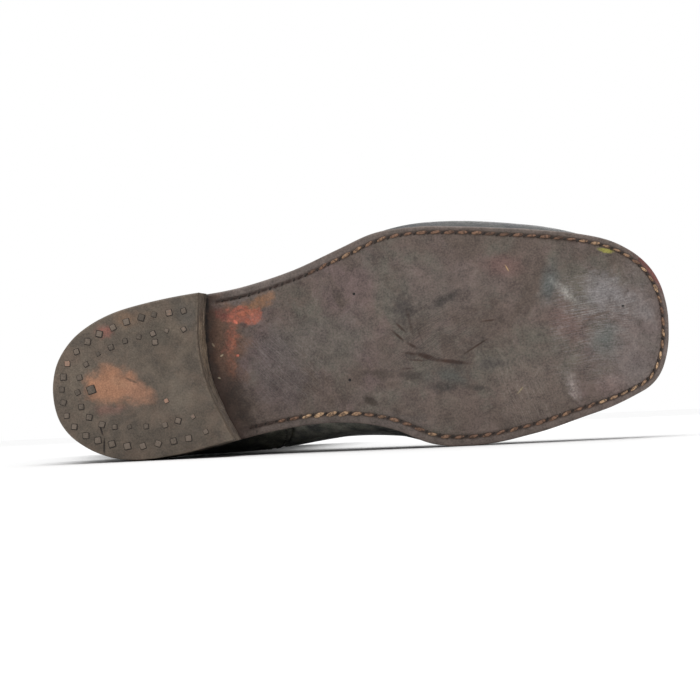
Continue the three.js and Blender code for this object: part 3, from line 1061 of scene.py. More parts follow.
    def scratches(
        self, t: Tree, spot: bpy.types.NodeSocket, turns: Sequence[float], amount: float
    ) -> bpy.types.NodeSocket:
        """Thin scratches along a few ways.

        Args:
            t: Where the nodes go.
            spot: The shaded spot.
            turns: The ways that they run.
            amount: How many show.

        Returns:
            How much of a scratch shows.
        """
        total: object = 0.0
        for number, turn in enumerate(turns):
            given = {"Place": spot, "Turn": -turn, "Length": 16.0 - 3 * number, "Width": 0.4,
                     "Amount": amount}
            lines = t.add("Group", given, node_tree=Groups.scuffs()).outputs[0]
            total = t.maths("MAXIMUM", total, lines)
        return total

    def lighter(self, times: float) -> Colour:
        """The first cloud's colour, made lighter."""
        return tuple(min(1.0, part * times) for part in self.clouds[0])

    @staticmethod
    def shoe_spot(t: Tree, place: ShoePlace) -> bpy.types.NodeSocket:
        """The shaded spot in shoe millimetres.

        Args:
            t: Where the nodes go.
            place: Where the boot lies.

        Returns:
            The spot.
        """
        turn = Matrix(place.axes.tolist())
        start = turn @ Vector(place.origin.tolist()) / MM
        inputs = {"Vector": t.add("TexCoord").outputs["Object"], "Location": tuple(-start),
                  "Rotation": tuple(turn.to_euler("XYZ")), "Scale": (1 / MM,) * 3}
        return t.add("Mapping", inputs, vector_type="POINT").outputs[0]

    def clouded(self, t: Tree, spot: bpy.types.NodeSocket) -> bpy.types.NodeSocket:
        """The clouds of colour.

        Args:
            t: Where the nodes go.
            spot: The shaded spot.

        Returns:
            Their colour.
        """
        colour: object = self.clouds[0]
        for number, cloud in enumerate(self.clouds[1:]):
            moved = t.add("VectorMath", {0: spot, 1: (57.0 * number, 31.0, 11.0)}, operation="ADD")
            drift = t.noise(moved.outputs[0], self.scale * (1 + 0.7 * number), 6, Roughness=0.62,
                            Distortion=0.6)
            colour = t.blend(t.fade(drift, 0.42, 0.66), colour, cloud)
        return colour

    @staticmethod
    def mark(t: Tree, spot: bpy.types.NodeSocket, blot: Blot, rough: dict) -> bpy.types.NodeSocket:
        """How much of a mark shows.

        Args:
            t: Where the nodes go.
            spot: The shaded spot.
            blot: The mark.
            rough: Noises by grain.

        Returns:
            How much of it shows.
        """
        inputs = {"Place": spot, "Centre": (*blot.centre, 0), "Reach": (*blot.reach, blot.tall),
                  "Turn": math.radians(blot.turn), "Blur": blot.blur, "Ragged": blot.ragged,
                  "Rough": rough[blot.grain], "Broken": blot.broken, "Specks": rough[SPECKS]}
        mask = t.add("Group", inputs, node_tree=Groups.blot()).outputs[0]
        return t.maths("MULTIPLY", mask, blot.strength)

    def cut_edge(self, t: Tree, spot: object, colour: object, height: object) -> tuple:
        """Fine lines along the layers of a cut edge.

        Args:
            t: Where the nodes go.
            spot: The shaded spot.
            colour: The colour so far.
            height: The relief so far.

        Returns:
            The colour and the relief.
        """
        split = t.add("SeparateXYZ", {0: spot})
        sway = t.maths("MULTIPLY", t.noise(spot, 0.05, 3), 1.6)
        rise = t.maths("ADD", split.outputs[2], sway)
        wave = t.maths("SINE", t.maths("MULTIPLY", rise, ROUND / self.layers))
        line = t.fade(wave, 0.2, 1.0)
        dark = tuple(part * 0.55 for part in self.clouds[0])
        colour = t.blend(t.maths("MULTIPLY", line, 0.45), colour, dark)
        return colour, t.maths("SUBTRACT", height, t.maths("MULTIPLY", line, 0.08))


@dataclass(frozen=True)
class Thread:
    """A finish of waxed thread, from worn and dark to fresh, by the stitch's own tone."""

    name: str
    worn: Colour
    tan: Colour
    fresh: Colour

    def make(self) -> bpy.types.Material:
        """Builds the material.

        Returns:
            The material.
        """
        material, t = new_material(self.name)
        tone, spot = t.attribute("tone"), t.spot_mm()
        colour = t.blend(t.fade(tone, 0.1, 0.5), self.worn, self.tan)
        colour = t.blend(t.fade(tone, 0.55, 1.0), colour, self.fresh)
        dirt = t.noise(spot, 0.8, 4)
        colour = t.blend(t.maths("MULTIPLY", t.fade(dirt, 0.42, 0.62), 0.75), colour, self.worn)
        bump = t.add("Bump", {"Height": t.noise(spot, 5.0, 3), "Distance": 0.25 * MM})
        shader = t.add("BsdfPrincipled", {"Base Color": colour, "Roughness": 0.7,
                                          "Normal": bump.outputs[0]})
        t.add("OutputMaterial", {"Surface": shader.outputs[0]})
        return material


@dataclass(frozen=True)
class Iron:
    """A finish of old iron, from dark to rusty and rubbed bright, by the nail's own tone."""

    name: str
    dark: Colour
    rust: Colour
    bright: Colour

    def make(self) -> bpy.types.Material:
        """Builds the material.

        Returns:
            The material.
        """
        material, t = new_material(self.name)
        pits = t.noise(t.spot_mm(), 1.3, 5)
        mixed = t.maths("ADD", t.attribute("tone"),
                        t.maths("MULTIPLY", t.maths("SUBTRACT", pits, 0.5), 0.5))
        colour = t.blend(t.fade(mixed, 0.25, 0.55), self.dark, self.rust)
        colour = t.blend(t.fade(mixed, 0.75, 1.0), colour, self.bright)
        bump = t.add("Bump", {"Height": pits, "Distance": 0.2 * MM})
        shader = t.add("BsdfPrincipled", {"Base Color": colour, "Roughness": 0.62, "Metallic": 0.1,
                                          "Normal": bump.outputs[0]})
        t.add("OutputMaterial", {"Surface": shader.outputs[0]})
        return material


DEEP = (0.037, 0.016, 0.009)
SOLE_BLOTS = (
    # Paler, polished leather over the toe, with a painted highlight.
    Blot((284, 1), (30, 46), (0.21, 0.172, 0.165), 0.42, turn=12, grain=0.05),
    Blot((130, -12), (30, 20), (0.128, 0.118, 0.1), 0.5, grain=0.05, blur=0.6),
    Blot((108, 4), (18, 24), (0.1, 0.077, 0.078), 0.5, grain=0.05, blur=0.6),
    Blot((196, -30), (36, 16), (0.15, 0.115, 0.102), 0.5, grain=0.05, blur=0.6),
    Blot((223, -38), (17, 8), (0.18, 0.105, 0.092), 0.8, turn=14, grain=0.05),
    Blot((232, 20), (34, 18), (0.155, 0.115, 0.096), 0.45, grain=0.05, blur=0.6),
    Blot((190, 30), (24, 12), (0.125, 0.093, 0.075), 0.5, grain=0.05, blur=0.6),
    # A painted shadow: a dark strip on the sole along the heel's front.
    Blot((83, 0), (9.5, 46), (0.062, 0.034, 0.025), 0.85, turn=-8, blur=0.75, ragged=0.25),
    Blot((85, -18), (13, 25), (0.155, 0.085, 0.056), 1, turn=-8, blur=0.6, ragged=0.5, broken=0.2),
    Blot((102.5, -33.5), (10, 5.5), (0.25, 0.13, 0.07), 1, turn=-20, blur=0.5, ragged=0.6, broken=0.35),
    Blot((98, -28), (11, 5.4), (0.43, 0.125, 0.076), 1, turn=3, blur=0.55, ragged=0.7, broken=0.45),
    Blot((88.5, -17.5), (8.5, 4.2), (0.34, 0.112, 0.07), 0.85, turn=118, blur=0.6, ragged=0.8, broken=0.6),
    Blot((87, -5), (8, 3.5), (0.24, 0.1, 0.06), 0.8, turn=95, blur=0.7, ragged=0.7, broken=0.6),
    Blot((94.5, -23.5), (2.8, 1.8), (0.11, 0.06, 0.05), 0.8, turn=20, blur=0.8),
    Blot((96, -29.5), (5, 1.8), (0.55, 0.17, 0.09), 0.7, turn=-8, ragged=0.8, broken=0.6, grain=0.3,
         blur=0.6),
    Blot((88.5, -15), (5, 1.4), (0.5, 0.17, 0.09), 0.65, turn=110, ragged=0.8, broken=0.7, grain=0.3,
         blur=0.6),
    Blot((84, -30), (8, 4), (0.24, 0.07, 0.055), 0.8, turn=30, blur=0.8, broken=0.6, grain=0.3),
    # Painted shade on the sole by the heel's front, on the inner side.
    Blot((89, 17), (7.5, 21), (0.045, 0.028, 0.02), 0.85, turn=-14, blur=0.7, ragged=0.5, broken=0.2),
    Blot((78.4, -15.5), (1.5, 0.7), (0.55, 0.43, 0.29), 0.9, turn=60, blur=0.5),
    Blot((82.2, -9.8), (1.1, 0.5), (0.5, 0.4, 0.27), 0.85, turn=-30, blur=0.5),
    Blot((79.6, 1.2), (0.9, 0.5), (0.5, 0.42, 0.3), 0.85, turn=20, blur=0.5),
    Blot((90, -8.9), (1, 0.8), (0.75, 0.2, 0.12), 0.9, blur=0.5),
    Blot((90.8, -25.5), (1.5, 0.8), (0.7, 0.19, 0.12), 0.8, turn=40, blur=0.5),
    Blot((102.5, -8.6), (9.5, 0.7), (0.24, 0.2, 0.19), 0.4, turn=49, ragged=0.5, broken=0.6),
    Blot((252.3, -6.5), (15, 13), (0.17, 0.104, 0.09), 0.75, turn=24, grain=0.05),
    Blot((268.6, 2.6), (10, 12), (0.108, 0.122, 0.112), 0.8, grain=0.05),
    Blot((245, -27), (8, 14), (0.105, 0.118, 0.114), 0.8, turn=20, grain=0.05),
    # The next three: the toe's polish with a painted highlight; gloss makes them less rough.
    Blot((271, -18.5), (17, 12), (0.255, 0.235, 0.235), 0.75, turn=12, gloss=-0.2),
    Blot((290, -9), (13, 7), (0.225, 0.2, 0.195), 0.65, turn=66, gloss=-0.2),
    Blot((283, 18), (15, 13), (0.2, 0.165, 0.155), 0.55, gloss=-0.15),
    Blot((268, 26), (11, 8), (0.24, 0.17, 0.155), 0.6),
    Blot((252, -21), (13, 3.6), (0.4, 0.385, 0.35), 0.75, turn=49, blur=0.95, broken=0.6, grain=0.3),
    Blot((250.8, 25.2), (9.5, 4.6), (0.4, 0.345, 0.32), 0.7, turn=76, blur=0.95, broken=0.6, grain=0.3),
    Blot((173, -21.5), (9, 11), (0.055, 0.044, 0.04), 0.95, broken=0.4, grain=0.3),
    Blot((194.2, -24.1), (14, 3.8), (0.046, 0.037, 0.033), 1, turn=-20, broken=0.3, grain=0.3),
    Blot((193.4, 13), (16, 7.5), (0.085, 0.085, 0.074), 0.9, turn=8),
    Blot((212.6, 9.4), (11, 4), (0.06, 0.052, 0.047), 0.9, turn=7, blur=0.8, broken=0.3, grain=0.3),
    Blot((188, 18.3), (8.5, 3.8), (0.04, 0.034, 0.03), 1, turn=6, broken=0.4, grain=0.3),
    Blot((204.7, 19.9), (7, 2.2), (0.045, 0.037, 0.032), 0.95, turn=13, broken=0.3, grain=0.3),
    Blot((174, 11.1), (9.5, 4), (0.044, 0.033, 0.027), 1, turn=19, broken=0.3, grain=0.3),
    Blot((158, 7.8), (13, 3), (0.064, 0.046, 0.036), 0.8, turn=18, grain=0.3),
    Blot((174.5, 1), (4.5, 2.6), (0.05, 0.034, 0.028), 0.85, turn=6, blur=0.8, broken=0.8, grain=0.3),
    Blot((181.6, 2.2), (7.4, 1.7), DEEP, 1, turn=24, blur=0.8, ragged=0.3, depth=0.25),
    Blot((192.5, 5.9), (14, 1.6), DEEP, 1, turn=12, blur=0.75, ragged=0.25, depth=0.3),
    Blot((169.7, -8.7), (5.6, 0.95), DEEP, 0.95, turn=48, blur=0.7, ragged=0.3, depth=0.2),
    Blot((175.6, -3.6), (4.6, 1.2), DEEP, 0.95, turn=34, blur=0.7, ragged=0.4, depth=0.2),
    Blot((171.1, -12.8), (4.4, 0.85), DEEP, 0.85, turn=51, blur=0.7, ragged=0.4),
    Blot((176, -13.5), (8, 1.2), DEEP, 0.75, turn=82, blur=0.8, ragged=0.6, broken=0.4),
    Blot((174.6, 0.2), (4.6, 0.8), DEEP, 0.8, turn=14, blur=0.8, ragged=0.5),
    Blot((176.5, 3.6), (6, 0.7), DEEP, 0.75, turn=10, blur=0.8, ragged=0.5),
    Blot((172.6, 7.2), (4.2, 0.8), DEEP, 0.7, turn=2, blur=0.8, ragged=0.5),
    Blot((180.4, -6.2), (6.4, 0.7), DEEP, 0.6, turn=76, blur=0.8, ragged=0.6),
    Blot((206.1, 0.1), (9, 0.62), DEEP, 0.9, turn=-27, blur=0.7, ragged=0.2),
    Blot((213.8, -11.6), (5.6, 0.85), DEEP, 0.75, turn=-2, blur=0.8, ragged=0.4),
    Blot((224.7, 23.9), (2.8, 0.5), (0.33, 0.27, 0.14), 0.7, turn=-46, blur=0.7),
    Blot((225, -35.8), (2.4, 0.45), (0.5, 0.33, 0.15), 0.8, turn=66, blur=0.7),
    Blot((153.1, 20.8), (5.0, 2.4), (0.046, 0.031, 0.022), 0.85, turn=42, blur=0.6),
    Blot((150.5, -31.9), (0.75, 0.75), (0.01, 0.008, 0.007), 1, blur=0.3, ragged=0, depth=0.6),
    Blot((144, 9.5), (0.8, 0.8), (0.01, 0.008, 0.007), 1, blur=0.3, ragged=0, depth=0.6),
    Blot((279.3, -11.8), (0.8, 0.8), (0.01, 0.008, 0.007), 1, blur=0.3, ragged=0, depth=0.6),
    Blot((274.4, -39.2), (5.4, 1.6), (0.38, 0.35, 0.07), 0.95, turn=14, blur=0.6, ragged=0.4, broken=0.2),
    Blot((295, -29), (19, 4.6), (0.2, 0.062, 0.052), 0.9, turn=60, blur=0.6, broken=0.3, grain=0.3),
    Blot((146, 31), (46, 6), (0.1, 0.079, 0.069), 0.75, turn=4, blur=0.5, broken=0.2, grain=0.3),
    Blot((112, -43), (40, 5), (0.165, 0.135, 0.12), 0.7, turn=-14, blur=0.5, broken=0.4, grain=0.3),
)
SOLE_SCRATCHES = (
    Blot((266, -12), (30, 26), (0.3, 0.285, 0.28), 0.6, turn=-8),
    Blot((262, 12), (34, 18), (0.22, 0.2, 0.19), 0.4, turn=-3),
    Blot((185, -8), (34, 30), (0.06, 0.047, 0.04), 0.7, turn=-28),
    Blot((110, -5), (34, 30), (0.2, 0.17, 0.16), 0.4, turn=46),
    Blot((228, 24), (30, 20), (0.24, 0.2, 0.17), 0.4, turn=70),
)
FRONT_BLOTS = (
    Blot((76, -16), (9, 17), (0.36, 0.27, 0.185), 0.75, turn=-8, blur=0.8, ragged=0.7, broken=0.45,
         grain=0.3),
    Blot((80, 22), (9, 16), (0.19, 0.155, 0.135), 0.6, turn=-20, blur=0.8, ragged=0.7, broken=0.4, grain=0.3),
)
HEEL_BLOTS = (
    Blot((29, 0), (15.5, 12), (0.37, 0.18, 0.102), 0.95, turn=8, blur=0.6, ragged=0.3),
    Blot((42, 4.5), (12, 7), (0.33, 0.165, 0.1), 0.85, turn=32, blur=0.7, ragged=0.35),
    Blot((27, 11.5), (12, 3.6), (0.21, 0.105, 0.082), 0.6, turn=4),
    Blot((34, -1), (9, 4), (0.36, 0.2, 0.12), 0.6, turn=25, broken=0.5, grain=0.3),
    Blot((38.9, -1.5), (5, 0.7), (0.09, 0.055, 0.038), 0.7, turn=30, blur=0.7, ragged=0.8, grain=0.3),
    Blot((28.8, -26.1), (6.5, 4.6), (0.25, 0.085, 0.065), 0.75, broken=0.3, grain=0.3),
    Blot((41, -31), (14, 6), (0.185, 0.11, 0.066), 0.7, turn=-4, broken=0.3),
    Blot((52, -21), (16, 12), (0.085, 0.07, 0.053), 0.75),
    Blot((62, 8), (13, 18), (0.148, 0.122, 0.094), 0.6),
    Blot((46, 26), (30, 9), (0.1, 0.079, 0.06), 0.6),
    Blot((70, -30), (10, 8), (0.1, 0.088, 0.075), 0.6),
    Blot((22.4, 21), (3.6, 0.5), (0.02, 0.014, 0.011), 0.95, turn=80, blur=0.6, ragged=0.15, depth=0.5),
    Blot((23, 28.6), (4.8, 0.5), (0.02, 0.014, 0.011), 0.95, turn=97, blur=0.6, ragged=0.15, depth=0.5),
)
UPPER_BLOTS = (
    # Dust at the inner waist, made far paler than the dust itself as painted light, since this side lies in
    # shade against the floor.
    Blot((125, 45), (60, 40), (0.25, 0.245, 0.2), 0.95, ragged=0.5, broken=0.2, tall=85),
    Blot((128, 45), (14, 24), (0.14, 0.13, 0.045), 0.5, ragged=0.8, broken=0.5, tall=80),
    Blot((60, -30), (40, 20), (0.065, 0.07, 0.062), 0.5, ragged=0.7),
)
SOLE_LEATHER = Leather(
    "sole_leather",
    ((0.131, 0.095, 0.08), (0.148, 0.103, 0.096), (0.124, 0.109, 0.088), (0.108, 0.079, 0.064)),
    scale=0.022, roughness=0.56, grain=(0.9, 0.16), relief=0.1, scuffs=0.3, rim=(0.138, 0.105, 0.09),
    blots=SOLE_BLOTS, scratched=SOLE_SCRATCHES,
)
HEEL_LEATHER = Leather(
    "heel_leather",
    ((0.112, 0.087, 0.065), (0.14, 0.11, 0.082), (0.094, 0.075, 0.058), (0.136, 0.1, 0.074)),
    scale=0.04, roughness=0.6, grain=(0.9, 0.2), relief=0.14, scuffs=0.3, mottle=0.24, blots=HEEL_BLOTS,
)
LIFT_LEATHER = Leather(
    "lift_leather",
    ((0.15, 0.118, 0.09), (0.2, 0.158, 0.12), (0.075, 0.056, 0.043)),
    scale=0.12, mottle=0.42, roughness=0.58, grain=(1.2, 0.3), relief=0.1, scuffs=0.3, layers=2.3,
    blots=FRONT_BLOTS,
)
EDGE_LEATHER = Leather(
    "edge_leather",
    ((0.075, 0.066, 0.06), (0.105, 0.088, 0.08), (0.055, 0.052, 0.045), (0.1, 0.062, 0.052)),
    scale=0.05, roughness=0.5, grain=(1.2, 0.3), relief=0.12, scuffs=0.32, layers=3.1,
)
UPPER_LEATHER = Leather(
    "upper_leather",
    ((0.018, 0.02, 0.018), (0.028, 0.029, 0.024), (0.013, 0.014, 0.013), (0.036, 0.037, 0.029)),
    scale=0.02, roughness=0.46, grain=(0.75, 0.12), relief=0.2, scuffs=0.26,
    scuff_colour=(0.11, 0.11, 0.1), blots=UPPER_BLOTS,
)
VAMP_LEATHER = Leather(
    "vamp_leather",
    ((0.024, 0.026, 0.03), (0.04, 0.043, 0.047), (0.018, 0.019, 0.021), (0.05, 0.05, 0.046)),
    scale=0.025, roughness=0.42, grain=(0.8, 0.14), relief=0.2, scuffs=0.34,
    # Only the first mark of the upper: the dust with painted light.
    scuff_colour=(0.13, 0.13, 0.13), blots=UPPER_BLOTS[:1],
)
LINING_LEATHER = Leather(
    "lining_leather",
    ((0.23, 0.16, 0.1), (0.3, 0.215, 0.14), (0.16, 0.11, 0.07)),
    scale=0.02, roughness=0.72, grain=(1.0, 0.2), relief=0.1, scuffs=0.3, sheen=0.15,
)
NAILS = (
    (67.9, -32, 2.5, 0.4), (60.8, -31.9, 2.9, 0.8), (53.5, -31.8, 2.5, 0.3), (47.3, -31, 3, 0.25),
    (39.9, -29.7, 3, 0.6), (33.2, -27.7, 2.7, 0.6), (26.3, -25.3, 2.8, 0.6), (20.3, -22.2, 2.9, 0.45),
    (14.5, -18, 2.5, 0.5), (9.5, -12.7, 2.6, 0.9), (6.9, -6.5, 2.9, 0.4), (5.5, -0.6, 2.4, 0.35),
    (5.6, 5.7, 2.7, 0.35), (6.5, 12.2, 2.4, 0.5), (9.6, 17.9, 2.5, 0.7), (14.7, 22.7, 2.8, 0.45),
    (20.2, 25.6, 3, 0.5), (26.7, 28.1, 3, 0.45), (34, 29.9, 3.1, 0.6), (41.4, 30.7, 2.9, 0.55),
    (48.9, 30.3, 2.9, 0.5), (56.4, 29.9, 2.8, 0.4), (63.7, 29.3, 2.9, 0.7), (72.3, 27, 2.3, 0.5),
    (67, -23.2, 2.2, 0.75), (58.7, -23.4, 2, 0.5), (52, -22.7, 2.4, 0.6), (45.1, -21.9, 2.3, 0.35),
    (38.3, -20.6, 2.2, 0.3), (31.2, -18.3, 2.5, 0.35), (24.7, -15.8, 1.9, 0.25),
    (18.4, -11.4, 2.2, 0.4), (14.6, -5.4, 2.5, 0.4), (12.9, 1.6, 2.4, 0.35), (13.9, 8.7, 2.5, 0.4),
    (17.2, 14.1, 2.6, 0.4), (22.9, 18.2, 2.8, 0.45), (28.9, 20, 2.3, 0.4), (36, 20.7, 1.9, 0.3),
    (44, 21.4, 2.3, 0.4), (53.1, 21.7, 2.5, 0.5), (59.6, 20.3, 2.6, 0.6), (66.9, 19.2, 2.1, 0.8),
    (52.6, -18.5, 2.6, 0.6), (55, 10.2, 2.1, 1), (19.6, 1, 3.9, 0.35),
)
WELT_THREAD = Thread("welt_thread", (0.045, 0.026, 0.019), (0.25, 0.135, 0.082), (0.66, 0.43, 0.25))
UPPER_THREAD = Thread("upper_thread", (0.02, 0.02, 0.018), (0.06, 0.055, 0.045), (0.16, 0.14, 0.1))
NAIL_IRON = Iron("nail_iron", (0.092, 0.073, 0.056), (0.178, 0.138, 0.107), (0.37, 0.22, 0.155))
# A near-black finish for painted shade: in the awl holes, and in the gaps and painted shadows round the
# nails.
HOLE_SHADE = Thread("hole_shade", (0.02, 0.014, 0.01), (0.03, 0.021, 0.015), (0.038, 0.028, 0.021))


@dataclass(frozen=True)
class Copies:
    """A small shape that is modelled once and set down many times in one mesh."""

    points: Array
    faces: list

    @classmethod
    def from_object(cls, piece: bpy.types.Object) -> Copies:
        """Takes the mesh of a modelled piece, in millimetres, and removes the piece.

        Args:
            piece: The modelled piece.

        Returns:
            Its shape.
        """
        points = np.array([corner.co for corner in piece.data.vertices])
        faces = [list(face.vertices) for face in piece.data.polygons]
        mesh = piece.data
        bpy.data.objects.remove(piece)
        bpy.data.meshes.remove(mesh)
        return cls(points, faces)

    def spread(
        self, name: str, spots: Array, ways: Array, sizes: Array, tones: Array, place: ShoePlace
    ) -> bpy.types.Object:
        """Sets the shape down at each spot.

        Args:
            name: Name of the piece.
            spots: Places, in shoe millimetres.
            ways: The shape's own x, y and z at each spot, as rows.
            sizes: Its length, width and height at each spot, as shares.
            tones: The tone of each copy.
            place: Where the boot lies.

        Returns:
            One object with all copies.
        """
        count = len(self.points)
        points = np.einsum("nij,nkj->nki", ways.transpose(0, 2, 1), self.points[None] * sizes[:, None])
        points += spots[:, None]
        faces = [[corner + count * n for corner in face] for n in range(len(spots)) for face in self.faces]
        piece = make_object(name, points, faces, place)
        paint(piece, "tone", np.repeat(tones, count))
        select_only(piece)
        bpy.ops.object.shade_smooth_by_angle(angle=math.radians(50))
        return piece


def model_stitch(length: float, width: float, height: float, rings: int, sides: int) -> Copies:
    """A short length of twisted thread whose ends dip into their holes.

    Args:
        length: Length of the stitch.
        width: Width of the thread.
        height: Height of the thread over the leather.
        rings: Rings along it.
        sides: Sides round it.

    Returns:
        The shape, along its own x.
    """
    bpy.ops.mesh.primitive_uv_sphere_add(segments=sides, ring_count=rings, radius=1)
    piece = bpy.context.active_object
    bpy.ops.object.mode_set(mode="EDIT")
    bpy.ops.mesh.select_all(action="SELECT")
    bpy.ops.transform.rotate(value=math.pi / 2, orient_axis="Y", center_override=(0, 0, 0))
    bpy.ops.object.mode_set(mode="OBJECT")
    for corner in piece.data.vertices:
        x, y, z = corner.co
        round_turn = math.atan2(z, y)
        fat = 1 + 0.13 * math.cos(2 * round_turn + 3.2 * x)
        full = math.sqrt(max(0.0, 1 - abs(x) ** 3)) / max(1e-6, math.sqrt(max(1e-9, 1 - x * x)))
        full = min(full, 1.6)
        corner.co = (x * length / 2, y * fat * full * width / 2, z * fat * full * height / 2)
        corner.co.z -= height * 0.55 * abs(x) ** 4
    return Copies.from_object(piece)


def model_nail(width: float, height: float) -> Copies:
    """A square nail head with rounded edges and a slightly raised middle.

    Args:
        width: Its width.
        height: Its height.

    Returns:
        The shape.
    """
    bpy.ops.mesh.primitive_cube_add(size=1)
    piece = bpy.context.active_object
    bpy.ops.object.mode_set(mode="EDIT")
    bpy.ops.mesh.select_all(action="SELECT")
    bpy.ops.transform.resize(value=(width, width, height))
    bpy.ops.mesh.bevel(offset=width * 0.14, segments=2, affect="EDGES")
    bpy.ops.object.mode_set(mode="OBJECT")
    for corner in piece.data.vertices:
        corner.co.z += 0.1 * height * math.cos(math.pi * min(1, corner.co.xy.length / width))
    return Copies.from_object(piece)


@dataclass
class Workshop:
    """What every sub-assembly of the boot needs."""

    place: ShoePlace
    sole: SoleForm
    upper: UpperForm
    materials: dict[str, bpy.types.Material]

    def dress(self, piece: bpy.types.Object, finish: str, slot: str, *nodes: str) -> None:
        """Gives a piece its finish and its place on the boot, and hides the solids that it stands for.

        Args:
            piece: The piece.
            finish: Name of its finish, unless it has one.
            slot: Not used.
            nodes: The solids.
        """
        if not piece.data.materials:
            piece.data.materials.append(self.materials[finish])
        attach(piece, "root")
        if nodes:
            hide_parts(*nodes)
        LOG.info("%s: %d faces", piece.name, len(piece.data.polygons))


def even_turns(
    line: Callable[[Array], Array], start: float, end: float, pitch: float,
    closer: Callable[[Array], Array] | None = None,
) -> Array:
    """Turns that lie evenly along a line.

    Args:
        line: The line by turn.
        start: Turn of its start.
        end: Turn of its end.
        pitch: Space between neighbours.
        closer: How much closer they lie, by place.

    Returns:
        The turns.
    """
    fine = np.linspace(start, end, 3000)
    points = line(fine)
    steps = np.linalg.norm(np.diff(points, axis=0), axis=1)
    if closer:
        steps *= closer(points[1:])
    run = np.r_[0, np.cumsum(steps)]
    count = max(2, int(round(run[-1] / pitch)))
    return np.interp((np.arange(count) + 0.5) / count * run[-1], run, fine)


def ways_along(line: Callable[[Array], Array], turns: Array, up: Array) -> Array:
    """Own axes of a shape at each turn: x along the line, z along up.

    Args:
        line: The line by turn.
        turns: Where the shapes are.
        up: The way up at each.

    Returns:
        The axes of each, as rows.
    """
    step = 1e-3
    along = line(turns + step) - line(turns - step)
    along /= np.linalg.norm(along, axis=1, keepdims=True)
    up = up - along * np.sum(up * along, axis=1, keepdims=True)
    up /= np.linalg.norm(up, axis=1, keepdims=True)
    return np.stack([along, np.cross(up, along), up], 1)


def turned(ways: Array, angles: Array) -> Array:
    """Turns each shape round its own z.

    Args:
        ways: The axes of each, as rows.
        angles: How far each is turned.

    Returns:
        The turned axes.
    """
    cos, sin = np.cos(angles)[:, None], np.sin(angles)[:, None]
    x = ways[:, 0] * cos + ways[:, 1] * sin
    y = ways[:, 1] * cos - ways[:, 0] * sin
    return np.stack([x, y, ways[:, 2]], 1)


